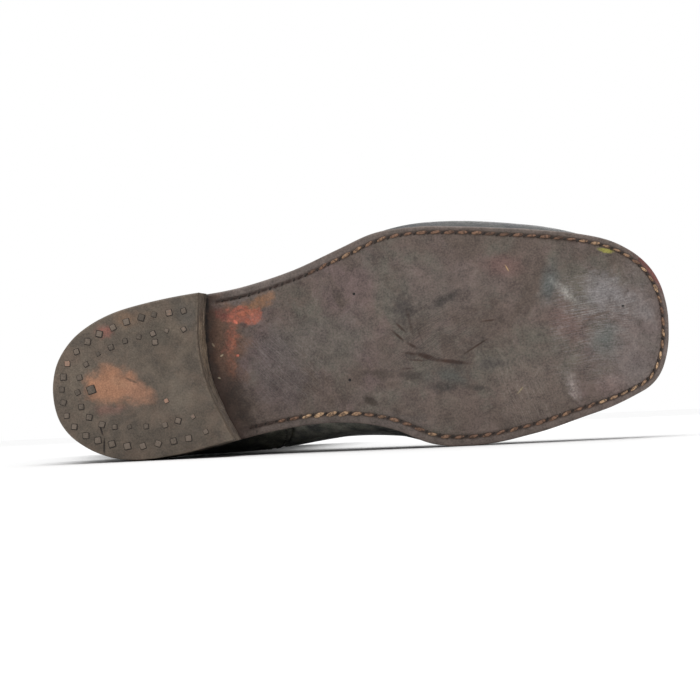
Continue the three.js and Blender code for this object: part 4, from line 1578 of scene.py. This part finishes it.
@dataclass
class Sole:
    """The outsole with its welt, its rand and the thread that holds them."""

    shop: Workshop
    columns: int = 420
    groove_depth: float = 0.45
    groove_width: float = 1.25
    edge_round: float = 1.5
    stitch_pitch: float = 6.6
    welt_width: float = 8.5
    plate_deep: float = 12
    shade_reach: float = 10

    def stitch_inset(self, turn: Array) -> Array:
        """How far inside the edge the thread runs: further on the inner side and at the waist.

        Args:
            turn: Turn round the sole.

        Returns:
            How far inside the edge.
        """
        turn = np.mod(turn, ROUND)
        x = self.shop.sole.edge(turn)[..., 0] / self.shop.sole.length
        inner = np.where(turn < math.pi, 1.0, 0.0)
        near_toe = smoothstep(x, 0.82, 0.97)
        waist = 1 - smoothstep(x, 0.48, 0.62)
        return 3.2 + 1.25 * np.maximum(inner * (1 - near_toe), waist)

    def stitch_line(self, turn: Array) -> Array:
        """The line of the thread on the bottom of the sole."""
        return self.shop.sole.on_sole(turn, self.stitch_inset(turn), 0)

    def breast_turns(self) -> tuple[float, float]:
        """Turns of the heel's front.

        Returns:
            The turn on the inner side and that on the outer side.
        """
        sole = self.shop.sole
        inner, outer = sole.breast_medial + sole.breast_slope, sole.breast_lateral + sole.breast_slope
        return sole.turn_of(inner), ROUND - sole.turn_of(outer)

    def relief(self, turn: Array, inset: Array, plan: Array) -> Array:
        """How far the bottom of the sole is worn or pressed in.

        Args:
            turn: Turn round the sole.
            inset: How far inside its edge.
            plan: The place in plan.

        Returns:
            How far, in millimetres.
        """
        sole = self.shop.sole
        sewn = between(turn, *self.breast_turns(), 0.05)
        off = (inset - self.stitch_inset(turn)) / self.groove_width
        groove = self.groove_depth * np.exp(-(off**2)) * sewn
        rim = 0.12 * np.exp(-(((inset - self.stitch_inset(turn) - 2.1) / 0.7) ** 2)) * sewn
        x, y = plan[..., 0], plan[..., 1]
        uneven = 0.16 * ripple(x + 0.6 * y, 5, 6, 90) + 0.12 * ripple(y - 0.4 * x, 9, 6, 60)
        cup = 0.5 * np.exp(-(((x - 232) / 34) ** 2 + ((y + 4) / 26) ** 2))
        crease = 0.45 * np.exp(-(((y - (2.6 + 0.24 * (x - 181.7))) / 1.2) ** 2))
        crease *= smoothstep(x, 178, 186) * (1 - smoothstep(x, 210, 222))
        under_heel = x < sole.seat_end * sole.length * 0.9
        return groove - rim + np.where(under_heel, 0, uneven + cup + crease)

    def build_outsole(self) -> None:
        """The outsole: its bottom with the groove of the thread, its rounded edge and its top."""
        sole = self.shop.sole
        turn = np.arange(self.columns) * ROUND / self.columns
        wobble = 0.22 * ripple(turn, 3, 9, 1.1, True)
        rows, deep = [], self.plate_deep
        centre_x = deep + (sole.length - 2 * deep) * share_at(turn)
        centre = np.stack([centre_x, mix(sole.heel_centre, sole.toe_centre, share_at(turn))], -1)
        for share in np.linspace(1, 0.05, 15):
            plan = mix(sole.inset(turn, deep), centre, share)
            rows.append((plan, np.full_like(turn, deep + 30 * share), 0))
        for inset in [*np.arange(deep, 7.4, -0.9), *np.arange(7.2, self.edge_round, -0.36)]:
            rows.append((sole.inset(turn, inset), np.full_like(turn, inset), 0))
        for inset, rise in rounded_rows(sole.outsole, self.edge_round, 5):
            rows.append((sole.inset(turn, inset + wobble), np.full_like(turn, inset), rise))
        for inset in (3.0, 8.0, deep):
            rows.append((sole.inset(turn, inset), np.full_like(turn, inset), sole.outsole))
        for share in (0.5, 1):
            rows.append((mix(sole.inset(turn, deep), centre, share), turn * 0, sole.outsole))
        points, sewn, rim = [], [], []
        shown = between(turn, *self.breast_turns(), 0.04)
        for plan, inset, rise in rows:
            low = self.relief(turn, inset, plan) * (1 - smoothstep(rise, 0, 2.0))
            points.append(np.column_stack([plan, sole.bottom(plan[:, 0]) + rise + low]))
            off = inset - self.stitch_inset(turn)
            # The mask for the painted shade in the furrow of the thread.
            sewn.append(np.exp(-((off / 1.05) ** 4)) * shown * (rise < 2))
            rim.append((1 - smoothstep(off, -1.5, -0.9)) * shown * (rise < 5))
        piece = make_object("outsole_worn", np.array(points),
                            grid_faces(len(rows), self.columns, True, False), self.shop.place)
        paint(piece, "seam", np.array(sewn))
        paint(piece, "rim", np.array(rim))
        x, y = np.array(points).reshape(-1, 3)[:, :2].T
        # Mask for painted shade: strongest where the sole meets the heel's front, fading over shade_reach.
        paint(piece, "shaded", np.clip(1 - (x - sole.breast(y)) / self.shade_reach, 0, 1))
        tidy_mesh(piece, 55)
        self.shop.dress(piece, "sole_leather", "sole_leather", "outsole")

    def build_strip(self, name: str, start: float, end: float, node: str) -> None:
        """A strip of the welt between two turns.

        Args:
            name: Name of the piece.
            start: Turn of its first end.
            end: Turn of its last end.
            node: The solid that it stands for.
        """
        sole = self.shop.sole
        turn = np.linspace(start, end, max(24, int(abs(end - start) / ROUND * self.columns)))
        wobble = 0.15 * ripple(turn, 21, 9, 0.9, True)
        side = rounded_rows(sole.welt, 0.8, 3)
        section = [(self.welt_width, 0), (5, 0), *side, (2.2, sole.welt), (3.4, sole.welt - 0.25),
                   (4.6, sole.welt), (self.welt_width, sole.welt)]
        rows = [sole.on_sole(turn, inset + wobble * (inset < 3), sole.welt_seat + rise)
                for inset, rise in section]
        points = np.array(rows)
        count = len(section)
        faces = grid_faces(count, len(turn), False, True)
        faces.append([row * len(turn) for row in range(count)])
        faces.append([row * len(turn) + len(turn) - 1 for row in reversed(range(count))])
        piece = make_object(name, points, faces, self.shop.place)
        tidy_mesh(piece, 50)
        self.shop.dress(piece, "edge_leather", "edge_leather", node)

    @staticmethod
    def closer(points: Array) -> Array:
        """How much closer the stitches lie, towards the toe and the heel."""
        x = points[..., 0]
        return 1 + 0.2 * smoothstep(x, 235, 290) + 0.5 * (1 - smoothstep(x, 92, 112))

    def stitch_tones(self, turns: Array) -> tuple[Array, Array]:
        """How fresh each stitch is and how large: worn and small towards the heel.

        Args:
            turns: Turns of the stitches.

        Returns:
            Their tones and their sizes.
        """
        sole = self.shop.sole
        draw = np.random.default_rng(41)
        x = sole.edge(turns)[:, 0]
        inner = np.mod(turns, ROUND) < math.pi
        near_heel = 1 - smoothstep(x, np.where(inner, 98, 120), np.where(inner, 112, 138))
        waist = np.where(inner, 1, 0.25) * np.exp(-(((x - 133) / 17) ** 4))
        toe = smoothstep(x, 235, 285) * np.where(inner, 1, 0.6)
        fresh = 0.52 + 0.13 * draw.normal(size=len(turns)) + 0.5 * waist + 0.3 * toe
        fresh = np.clip(fresh * (1 - near_heel), 0.02, 1)
        size = np.clip(0.9 + 0.06 * draw.normal(size=len(turns)), 0.7, 1.1) * (1 - 0.4 * near_heel)
        size += 0.22 * waist - 0.16 * toe
        return fresh, size

    def build_thread(self) -> None:
        """The stitches on the bottom, their holes, and the stitches on top of the welt."""
        sole = self.shop.sole
        medial, lateral = self.breast_turns()
        turns = even_turns(self.stitch_line, medial + 0.03, lateral - 0.02, self.stitch_pitch, self.closer)
        draw = np.random.default_rng(17)
        step = 1e-3
        ahead = self.stitch_line(turns + step) - self.stitch_line(turns - step)
        inward = np.column_stack([-sole.outward(turns), np.zeros(len(turns))])
        down = np.cross(inward, ahead)
        down *= -np.sign(down[:, 2:3])
        down /= np.linalg.norm(down, axis=1, keepdims=True)
        ways = ways_along(self.stitch_line, turns, down)
        fresh, size = self.stitch_tones(turns)
        fat = size > 1.02
        slant = 0.2 + 0.16 * fat + 0.06 * draw.normal(size=len(turns))
        spots = self.stitch_line(turns) + down * (-self.groove_depth + 0.35)
        sizes = np.column_stack([size, size * draw.uniform(0.85, 1.1, len(turns)), size])
        stitch = model_stitch(5.6, 1.5, 1.15, 12, 12)
        thread = stitch.spread("welt_thread", spots, turned(ways, slant), sizes, fresh, self.shop.place)
        self.shop.dress(thread, "welt_thread", "edge_leather")
        # Dark shapes between the stitches: painted shade in the awl holes.
        middle = (turns[1:] + turns[:-1]) / 2
        pits = self.stitch_line(middle) - (down[1:] + down[:-1]) / 2 * 0.05 + inward[1:] * 0.3
        pit_ways = turned(ways_along(self.stitch_line, middle, down[1:]),
                          0.85 + 0.2 * draw.normal(size=len(middle)))
        pit_size = np.column_stack([draw.uniform(0.75, 1.25, len(middle)) for _ in range(3)])
        pit = model_stitch(2.1, 0.8, 0.7, 8, 10)
        holes = pit.spread("awl_hole_shades", pits, pit_ways, pit_size, np.full(len(middle), 0.5),
                           self.shop.place)
        self.shop.dress(holes, "hole_shade", "edge_leather")

        def top_line(turn: Array) -> Array:
            """The line of the thread on top of the welt."""
            return sole.on_sole(turn, 3.4, sole.welt_seat + sole.welt - 0.1)

        top = even_turns(top_line, medial + 0.03, lateral - 0.02, 5.2)
        up = np.tile([0.0, 0.0, 1.0], (len(top), 1))
        tones = np.clip(0.3 + 0.15 * draw.normal(size=len(top)), 0, 1)
        small = np.ones((len(top), 3)) * 0.7
        above = stitch.spread("welt_thread_top", top_line(top), ways_along(top_line, top, up), small,
                              tones, self.shop.place)
        self.shop.dress(above, "welt_thread", "edge_leather")

    def build(self) -> None:
        """Builds the whole sole."""
        medial, lateral = self.breast_turns()
        end = self.shop.sole.gap / self.shop.sole.length
        self.build_outsole()
        self.build_strip("welt_strip", medial + end, lateral - end, "welt")
        self.build_strip("rand_strip", lateral + end, ROUND + medial - end, "heel_rand")
        self.build_thread()


@dataclass
class Heel:
    """The stacked heel with its top piece and nails."""

    shop: Workshop
    top_piece: float = 6.4
    lifts: int = 3
    taper: float = 0.9
    round_steps: int = 150
    front_steps: int = 50

    def ring(self, height: float, inset: float) -> Array:
        """A level ring round the heel.

        Args:
            height: Height over the tread.
            inset: How far it is drawn in.

        Returns:
            Its points, the round of the heel first and then its front.
        """
        sole = self.shop.sole
        forward = sole.breast_slope * height / sole.heel_height
        medial = sole.turn_of(sole.breast_medial + forward - inset)
        lateral = -sole.turn_of(sole.breast_lateral + forward - inset)
        turn = np.linspace(lateral, medial, self.round_steps)
        wobble = 0.12 * ripple(turn, 31 + int(height), 8, 1.0)
        taper = self.taper * (1 - height / sole.heel_height)
        arc = sole.inset(turn, taper + inset + wobble)
        share = np.linspace(0, 1, self.front_steps)[1:-1]
        front = mix(arc[-1], arc[0], share[:, None])
        front[:, 0] -= sole.breast_bow * np.sin(math.pi * share)
        front[:, 0] += 0.3 * ripple(share, 51 + int(height), 9, 0.35)
        plan = np.concatenate([arc, front])
        return np.column_stack([plan, np.full(len(plan), height)])

    def layer(self, name: str, low: float, high: float, bevel: float, finish: str, node: str) -> None:
        """One layer of the heel, with rounded edges.

        Args:
            name: Name of the piece.
            low: Height of its bottom.
            high: Height of its top.
            bevel: Radius of its edges.
            finish: Name of its finish.
            node: The solid that it stands for.
        """
        side = rounded_rows(high - low, bevel, 3)
        rows = [self.ring(low + rise, inset) for inset, rise in side]
        count = len(rows[0])
        faces = grid_faces(len(rows), count, True, False)
        faces.append(list(range(count)))
        faces.append([count * (len(rows) - 1) + corner for corner in reversed(range(count))])
        piece = make_object(name, np.array(rows), faces, self.shop.place)
        front = np.arange(count) >= self.round_steps
        rubbed = [(0.3 + 0.7 * front) * (0.02 < inset < bevel * 0.9) for inset, _ in side]
        paint(piece, "worn", np.array(rubbed))
        tidy_mesh(piece, 35)
        self.shop.dress(piece, finish, "heel_leather", node)

    def build_nails(self) -> None:
        """The nail heads, and the dark gaps round them, set a little to one side as a painted shadow."""
        table = np.array(NAILS)
        count = len(table)
        draw = np.random.default_rng(23)
        spots = np.column_stack([table[:, :2], np.full(count, 0.02)])
        flat = np.tile(np.diag([1.0, -1.0, -1.0]), (count, 1, 1))
        ways = turned(flat, draw.uniform(-0.5, 0.5, count))
        size = table[:, 2:3] * np.array([[1, 1, 0.4]])
        nail, place = model_nail(1.0, 1.0), self.shop.place
        heads = nail.spread("nail_heads", spots, ways, size * 0.92, table[:, 3], place)
        self.shop.dress(heads, "nail_iron", "heel_leather")
        # The dark gap round each nail, shifted to one side to paint a shadow.
        wide = size * draw.uniform(1.08, 1.26, (count, 1)) * np.array([[1, 1, 0.12]])
        shadow = spots + np.array([[0.1, 0.12, 0.0]])
        gaps = nail.spread("nail_gaps_and_shadows", shadow, ways, wide, np.ones(count), place)
        self.shop.dress(gaps, "hole_shade", "heel_leather")

    def build(self) -> None:
        """Builds the whole heel."""
        gap = self.shop.sole.gap
        thick = (self.shop.sole.heel_height - self.top_piece - gap) / self.lifts - gap
        self.layer("top_piece_worn", 0, self.top_piece, 1.1, "heel_leather", "top_piece")
        for number in range(self.lifts):
            low = self.top_piece + gap + number * (thick + gap)
            name = f"heel_lift_{number + 1}"
            self.layer(name + "_worn", low, low + thick, 0.5, "lift_leather", name)
        self.build_nails()


@dataclass(frozen=True)
class Fold:
    """A soft trough across the worn leather.

    Attributes:
        level: How far up it lies.
        width: How wide it is, in levels.
        depth: How deep it is, in millimetres.
        tilt: How far it climbs on its way round.
    """

    level: float
    width: float
    depth: float
    tilt: float = 0

    def trough(self, level: Array, sway: Array) -> Array:
        """Its depth at a level, where it sways up or down."""
        return self.depth * np.exp(-(((level - self.level - sway) / self.width) ** 2))


@dataclass(frozen=True)
class StitchRow:
    """A row of stitches: its turn and its level by the share of its way, and how far out it lies."""

    turn: Callable[[Array], Array]
    level: Callable[[Array], Array]
    offset: float


ANKLE_FOLDS = (Fold(6.2, 0.15, 3.8, 0.12), Fold(6.75, 0.17, 3.4, -0.16),
               Fold(7.35, 0.2, 2.6, 0.14), Fold(8.1, 0.24, 1.5, -0.1))
BACK_FOLDS = (Fold(6.6, 0.2, 2.6), Fold(7.4, 0.24, 2.2), Fold(8.3, 0.26, 1.3))
INSTEP_FOLDS = (Fold(2.55, 0.11, 0.9), Fold(3.3, 0.12, 1.1), Fold(4.0, 0.13, 0.9))


@dataclass
class Shaft:
    """The upper with its shaft, and the vamp and the counter over it."""

    shop: Workshop
    columns: int = 300
    overlay: float = 1.8
    overlay_gap: float = 0.5
    seam_x: float = 113
    seam_gap: float = 0.6
    vamp_seam: float = 3.3
    vamp_end: float = 5.9
    counter_seam: float = 3.1
    counter_end: float = 3.9

    @property
    def seam_turn(self) -> float:
        """Turn of the side seams."""
        return self.shop.sole.turn_of(self.seam_x)

    def vamp_top(self, turn: Array) -> Array:
        """Top line of the vamp."""
        share = (half_turn(np.mod(turn, ROUND)) - self.seam_turn) / (math.pi - self.seam_turn)
        return mix(self.vamp_seam, self.vamp_end, np.sin(np.clip(share, 0, 1) * math.pi / 2))

    def counter_top(self, turn: Array) -> Array:
        """Top line of the counter."""
        share = 1 - half_turn(np.mod(turn, ROUND)) / self.seam_turn
        return mix(self.counter_seam, self.counter_end, np.sin(np.clip(share, 0, 1) * math.pi / 2))

    def slack(self, turn: Array, level: Array) -> Array:
        """How far the worn leather stands out or sinks in, as soft ridges and troughs.

        Args:
            turn: Turn round the upper.
            level: Level up it.

        Returns:
            How far out it stands, in millimetres.
        """
        turn = np.mod(turn, ROUND)
        front = np.exp(-(((turn - math.pi) / 1.1) ** 2))
        back = np.exp(-((half_turn(turn) / 0.9) ** 2))
        over = np.exp(-(((turn - math.pi) / 0.75) ** 2))
        fold = np.zeros(np.broadcast_shapes(np.shape(turn), np.shape(level)))
        sway = 0.06 * ripple(turn, 77, 4, 2.4, True)
        for row in ANKLE_FOLDS:
            lean = sway + row.tilt * np.cos(turn * 2)
            fold -= row.trough(level, lean) * (0.25 + 0.75 * front)
            fold += 0.45 * row.trough(level, lean + 1.7 * row.width) * front
        sway = 0.05 * ripple(turn, 83, 4, 2.0, True)
        fold -= sum(row.trough(level, sway) for row in BACK_FOLDS) * back
        sway = 0.1 * ripple(turn, 91, 4, 1.5, True)
        fold -= sum(row.trough(level, sway) for row in INSTEP_FOLDS) * over * 0.6
        leg = smoothstep(level, 7.4, 9)
        fold += leg * (1.5 * ripple(turn, 61, 4, ROUND / 2, True) + 0.8 * ripple(level, 63, 4, 3.0))
        fold += leg * 1.1 * ripple(turn * 2 + level * 0.9, 67, 4, ROUND / 1.5, True)
        low = smoothstep(level, 0.6, 2.0)
        return fold * low + 0.25 * low * ripple(turn * 3 + level, 71, 5, 2.5, True)

    def seams(self, turn: Array, level: Array) -> Array:
        """The raised edges and the furrow of the side seams on the shaft.

        Args:
            turn: Turn round the upper.
            level: Level up it.

        Returns:
            How far out they stand, in millimetres.
        """
        turn = half_turn(np.mod(turn, ROUND))
        reach = np.linalg.norm(
            self.shop.upper.last(self.seam_turn + 0.01, level)
            - self.shop.upper.last(self.seam_turn - 0.01, level), axis=-1,
        ) / 0.02
        off = (turn - self.seam_turn) * reach
        ridge = 0.7 * np.exp(-((off / 4.2) ** 4)) - 1.1 * np.exp(-((off / 0.55) ** 2))
        return ridge * smoothstep(level, 2.9, 3.3)

    def grounded(self, points: Array) -> Array:
        """Keeps points above the floor, as soft leather flattens on it.

        Args:
            points: Points in shoe millimetres.

        Returns:
            The points, none of them lower than the floor.
        """
        row = self.shop.place.to_row(points)
        low = np.maximum(LEAST_RISE * MM - row[..., 2], 0)
        return points + (low[..., None] * np.array([0, 0, 1.0])) @ self.shop.place.axes.T / MM

    def build_upper(self) -> None:
        """The hollow upper: outside, collar edge and inside."""
        form = self.shop.upper
        turn = np.sort(np.r_[
            np.arange(self.columns) * ROUND / self.columns,
            *[side + np.array([-0.016, -0.008, -0.004, 0, 0.004, 0.008, 0.016])
              for side in (self.seam_turn, ROUND - self.seam_turn)],
        ])
        outer = np.r_[np.linspace(0, 6, 70), np.linspace(6, 9, 60)[1:], np.linspace(9, form.top, 30)[1:]]
        inner = np.linspace(form.top, 0, 80)
        t, level = np.meshgrid(turn, outer)
        out = form.at(t, level, self.slack(t, level) + self.seams(t, level))
        t, level = np.meshgrid(turn, inner)
        into = form.at(t, level, self.slack(t, level) - form.wall)
        t, rim = turn[None], []
        slack, seams = self.slack(t, form.top), self.seams(t, form.top)
        for share in (0.12, 0.35, 0.65, 0.88):
            offset = mix(slack + seams, slack - form.wall, share)
            ring = form.at(t, np.full_like(t, form.top), offset)
            ring[..., 2] += 0.75 * math.sin(math.pi * share) ** 0.7
            rim.append(ring[0])
        points = self.grounded(np.concatenate([out, np.array(rim), into]))
        rows, columns = points.shape[:2]
        piece = make_object("upper_worn", points, grid_faces(rows, columns, True, True),
                            self.shop.place)
        inside = len(outer) + 2
        piece.data.materials.append(self.shop.materials["upper_leather"])
        piece.data.materials.append(self.shop.materials["lining_leather"])
        row_of = np.arange(len(piece.data.polygons)) // columns
        piece.data.polygons.foreach_set("material_index", (row_of >= inside).astype(np.int32))
        tidy_mesh(piece, 60)
        self.shop.dress(piece, "upper_leather", "upper_leather", "upper")

    def build_overlay(
        self, name: str, start: float, end: float, top: Callable[[Array], Array], finish: str, node: str
    ) -> None:
        """A piece of leather over the upper, with skived edges.

        Args:
            name: Name of the piece.
            start: Turn of its first seam.
            end: Turn of its last seam.
            top: Its top line.
            finish: Name of its finish.
            node: The solid that it stands for.
        """
        rim = np.array([0, 0.0025, 0.006, 0.012])
        wide = end - start
        turn = start + wide * np.r_[rim, np.linspace(0.02, 0.98, int(self.columns * wide / ROUND)),
                                    1 - rim[::-1]]
        share = np.r_[np.linspace(0, 0.96, 52), 0.975, 0.987, 0.995, 1.0]
        t, s = np.meshgrid(turn, share)
        level = top(t) * s
        inward = np.minimum(np.minimum(t - start, end - t) / wide / 0.012, (1 - s) / 0.03)
        edge = np.sqrt(np.clip(1 - (1 - np.clip(inward, 0, 1)) ** 2, 0, 1))
        slack = self.slack(t, level)
        outer = self.shop.upper.at(t, level, slack + self.overlay_gap + self.overlay * (0.25 + 0.75 * edge))
        inner = self.shop.upper.at(t, level, slack + self.overlay_gap * 0.4)
        rows, columns = t.shape
        points = self.grounded(np.concatenate([outer, inner]))
        count = rows * columns
        faces = grid_faces(rows, columns, False, False)
        faces += [face[::-1] for face in grid_faces(rows, columns, False, False, count)]
        grid = np.arange(count).reshape(rows, columns)
        rim_loop = [*grid[0], *grid[1:, -1], *grid[-1, -2::-1], *grid[-2:0:-1, 0]]
        faces += [[a, a + count, b + count, b] for a, b in zip(rim_loop, rim_loop[1:] + rim_loop[:1])]
        piece = make_object(name, points, faces, self.shop.place)
        tidy_mesh(piece, 50)
        self.shop.dress(piece, finish, finish, node)

    def stitch_spot(self, row: StitchRow, share: Array) -> Array:
        """Points of a row of stitches, by the share of its way."""
        turn, level = row.turn(share), row.level(share)
        return self.shop.upper.at(turn, level, self.slack(turn, level) + row.offset)

    def sew(self, name: str, rows: Sequence[StitchRow], pitch: float, seed: int) -> None:
        """Rows of small stitches.

        Args:
            name: Name of the piece.
            rows: The rows.
            pitch: Space between stitches.
            seed: Number that their tones come from.
        """
        draw = np.random.default_rng(seed)
        spots, ways = [], []
        for row in rows:
            line = partial(self.stitch_spot, row)
            shares = even_turns(line, 0.004, 0.996, pitch)
            out = self.shop.upper.way_out(row.turn(shares), row.level(shares))
            spots.append(line(shares))
            ways.append(ways_along(line, shares, out))
        spots, ways = self.grounded(np.concatenate(spots)), np.concatenate(ways)
        tones = np.clip(0.35 + 0.2 * draw.normal(size=len(spots)), 0, 1)
        stitch = model_stitch(pitch * 0.8, 0.75, 0.6, 6, 8)
        piece = stitch.spread(name, spots, ways, np.ones((len(spots), 3)), tones, self.shop.place)
        self.shop.dress(piece, "upper_thread", "upper_leather")

    def build_stitching(self) -> None:
        """The stitches of the vamp, the counter, the side seams and the collar."""
        seam, face = self.seam_turn, self.overlay_gap + self.overlay + 0.02
        top = self.shop.upper.top

        def over(share: Array) -> Array:
            """Turn along the top of the vamp."""
            return mix(seam + 0.02, ROUND - seam - 0.02, share)

        def behind(share: Array) -> Array:
            """Turn along the top of the counter."""
            return mix(-seam + 0.02, seam - 0.02, share)

        self.sew("vamp_stitches", [
            StitchRow(over, lambda s, b=back: self.vamp_top(over(s)) - b, face) for back in (0.12, 0.27)
        ], 3.1, 101)
        rows = [StitchRow(behind, lambda s, b=back: self.counter_top(behind(s)) - b, face)
                for back in (0.1, 0.22)]
        rows += [StitchRow(lambda s, k=side: k * (seam - 0.024) + 0 * s, partial(mix, 0.15, 2.8), face)
                 for side in (-1, 1)]
        self.sew("counter_stitches", rows, 3.1, 103)
        rows = [StitchRow(lambda s, k=side, o=off: np.mod(k * (seam + o * mix(0.75, 1, s)), ROUND),
                          partial(mix, 3.5, top - 0.12), 0.72)
                for side in (-1, 1) for off in (-0.055, 0.055)]
        rows += [StitchRow(lambda s: s * ROUND, lambda s, d=down: top - d + 0 * s, 0.05)
                 for down in (0.1, 0.16)]
        self.sew("shaft_stitches", rows, 3.4, 107)

    def build(self) -> None:
        """Builds the whole upper."""
        seam = self.seam_turn
        gap = self.seam_gap / self.shop.sole.length
        self.build_upper()
        self.build_overlay("vamp_worn", seam + gap, ROUND - seam - gap, self.vamp_top, "vamp_leather",
                           "vamp")
        self.build_overlay("counter_worn", gap - seam, seam - gap, self.counter_top, "upper_leather",
                           "counter")
        self.build_stitching()


@dataclass(frozen=True)
class Studio:
    """The camera, the floor and the light.

    Attributes:
        distance: From the camera to the tread plane, in millimetres.
        aim: Where the camera looks on the tread plane, in shoe millimetres.
        rise: How much the shoe rises to the right in the picture, in degrees.
        wide: Width of the picture at the tread plane, in millimetres.
        shift: How far the picture is shifted to bring the boot to its middle.
    """

    distance: float = 900
    aim: tuple[float, float] = (142.0, 28.9)
    rise: float = 6.16
    wide: float = 337.2
    shift: float = 0.1

    def place_camera(self, place: ShoePlace) -> None:
        """Sets the camera square to the tread, at the photo's angle.

        Args:
            place: Where the boot lies.
        """
        data = bpy.data.cameras.new("camera")
        camera = bpy.data.objects.new("camera", data)
        bpy.context.scene.collection.objects.link(camera)
        spot = place.to_row(np.array([*self.aim, -self.distance]))
        look = place.axes[2]
        turn = math.radians(self.rise)
        right = place.axes[0] * math.cos(turn) + place.axes[1] * math.sin(turn)
        up = np.cross(right, look)
        camera.matrix_world = Matrix([
            [right[i], up[i], -look[i], spot[i]] for i in range(3)
        ] + [[0, 0, 0, 1]])
        data.sensor_fit = "HORIZONTAL"
        data.lens = data.sensor_width * self.distance / self.wide
        data.shift_y = self.shift
        data.clip_start = 0.01
        data.clip_end = 50
        bpy.context.scene.camera = camera

    def lay_floor(self) -> None:
        """A plain pale floor."""
        bpy.ops.mesh.primitive_plane_add(size=24, location=(0, 0, 0))
        floor = bpy.context.active_object
        floor.name = "floor"
        material, t = new_material("pale_floor")
        shader = t.add("BsdfPrincipled", {"Base Color": (0.86, 0.86, 0.86, 1), "Roughness": 0.9})
        t.add("OutputMaterial", {"Surface": shader.outputs[0]})
        floor.data.materials.append(material)

    def light(self) -> None:
        """Soft light from all sides, with a broad sun above, and a lamp in front and one behind."""
        world = bpy.data.worlds.new("studio")
        world.use_nodes = True
        t = Tree(world.node_tree)
        t.tree.nodes.clear()
        seen = t.add("Background", {"Color": (1, 1, 1, 1), "Strength": 1.0})
        cast = t.add("Background", {"Color": (1, 1, 1, 1), "Strength": 0.42})
        ray = t.add("LightPath").outputs["Is Camera Ray"]
        both = t.add("MixShader", {0: ray, 1: cast.outputs[0], 2: seen.outputs[0]})
        t.add("OutputWorld", {"Surface": both.outputs[0]})
        bpy.context.scene.world = world
        data = bpy.data.lights.new("overhead", "SUN")
        data.energy, data.angle = 2.3, math.radians(55)
        bpy.context.scene.collection.objects.link(bpy.data.objects.new("overhead", data))
        for name, spot, power in (("lamp_front", (-0.8, -1.6, 1.0), 5), ("lamp_back", (0.5, 1.6, 1.1), 6)):
            data = bpy.data.lights.new(name, "AREA")
            data.shape, data.size, data.energy = "DISK", 1, power
            lamp = bpy.data.objects.new(name, data)
            lamp.location = spot
            toward = Vector((0, -0.1, 0.05)) - Vector(spot)
            lamp.rotation_euler = toward.to_track_quat("-Z", "Y").to_euler()
            bpy.context.scene.collection.objects.link(lamp)

    def build(self, place: ShoePlace) -> None:
        """Builds the whole studio.

        Args:
            place: Where the boot lies.
        """
        self.place_camera(place)
        self.lay_floor()
        self.light()
        bpy.context.scene.view_settings.view_transform = "Standard"


def main() -> None:
    """Builds the boot and its studio."""
    logging.basicConfig(level=logging.INFO, format="%(name)s %(message)s")
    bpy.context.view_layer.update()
    place = ShoePlace.from_record(frame["record"])
    leathers = (SOLE_LEATHER, HEEL_LEATHER, LIFT_LEATHER, EDGE_LEATHER, UPPER_LEATHER, VAMP_LEATHER,
                LINING_LEATHER)
    materials = {finish.name: finish.make(place) for finish in leathers}
    materials |= {finish.name: finish.make() for finish in (WELT_THREAD, UPPER_THREAD, NAIL_IRON, HOLE_SHADE)}
    sole = SoleForm()
    shop = Workshop(place, sole, UpperForm(sole), materials)
    Studio().build(place)
    Sole(shop).build()
    Heel(shop).build()
    Shaft(shop).build()
    insole = frame["nodes"]["insole"]
    insole.data.materials.clear()
    insole.data.materials.append(materials["lining_leather"])


if __name__ == "__main__":
    main()
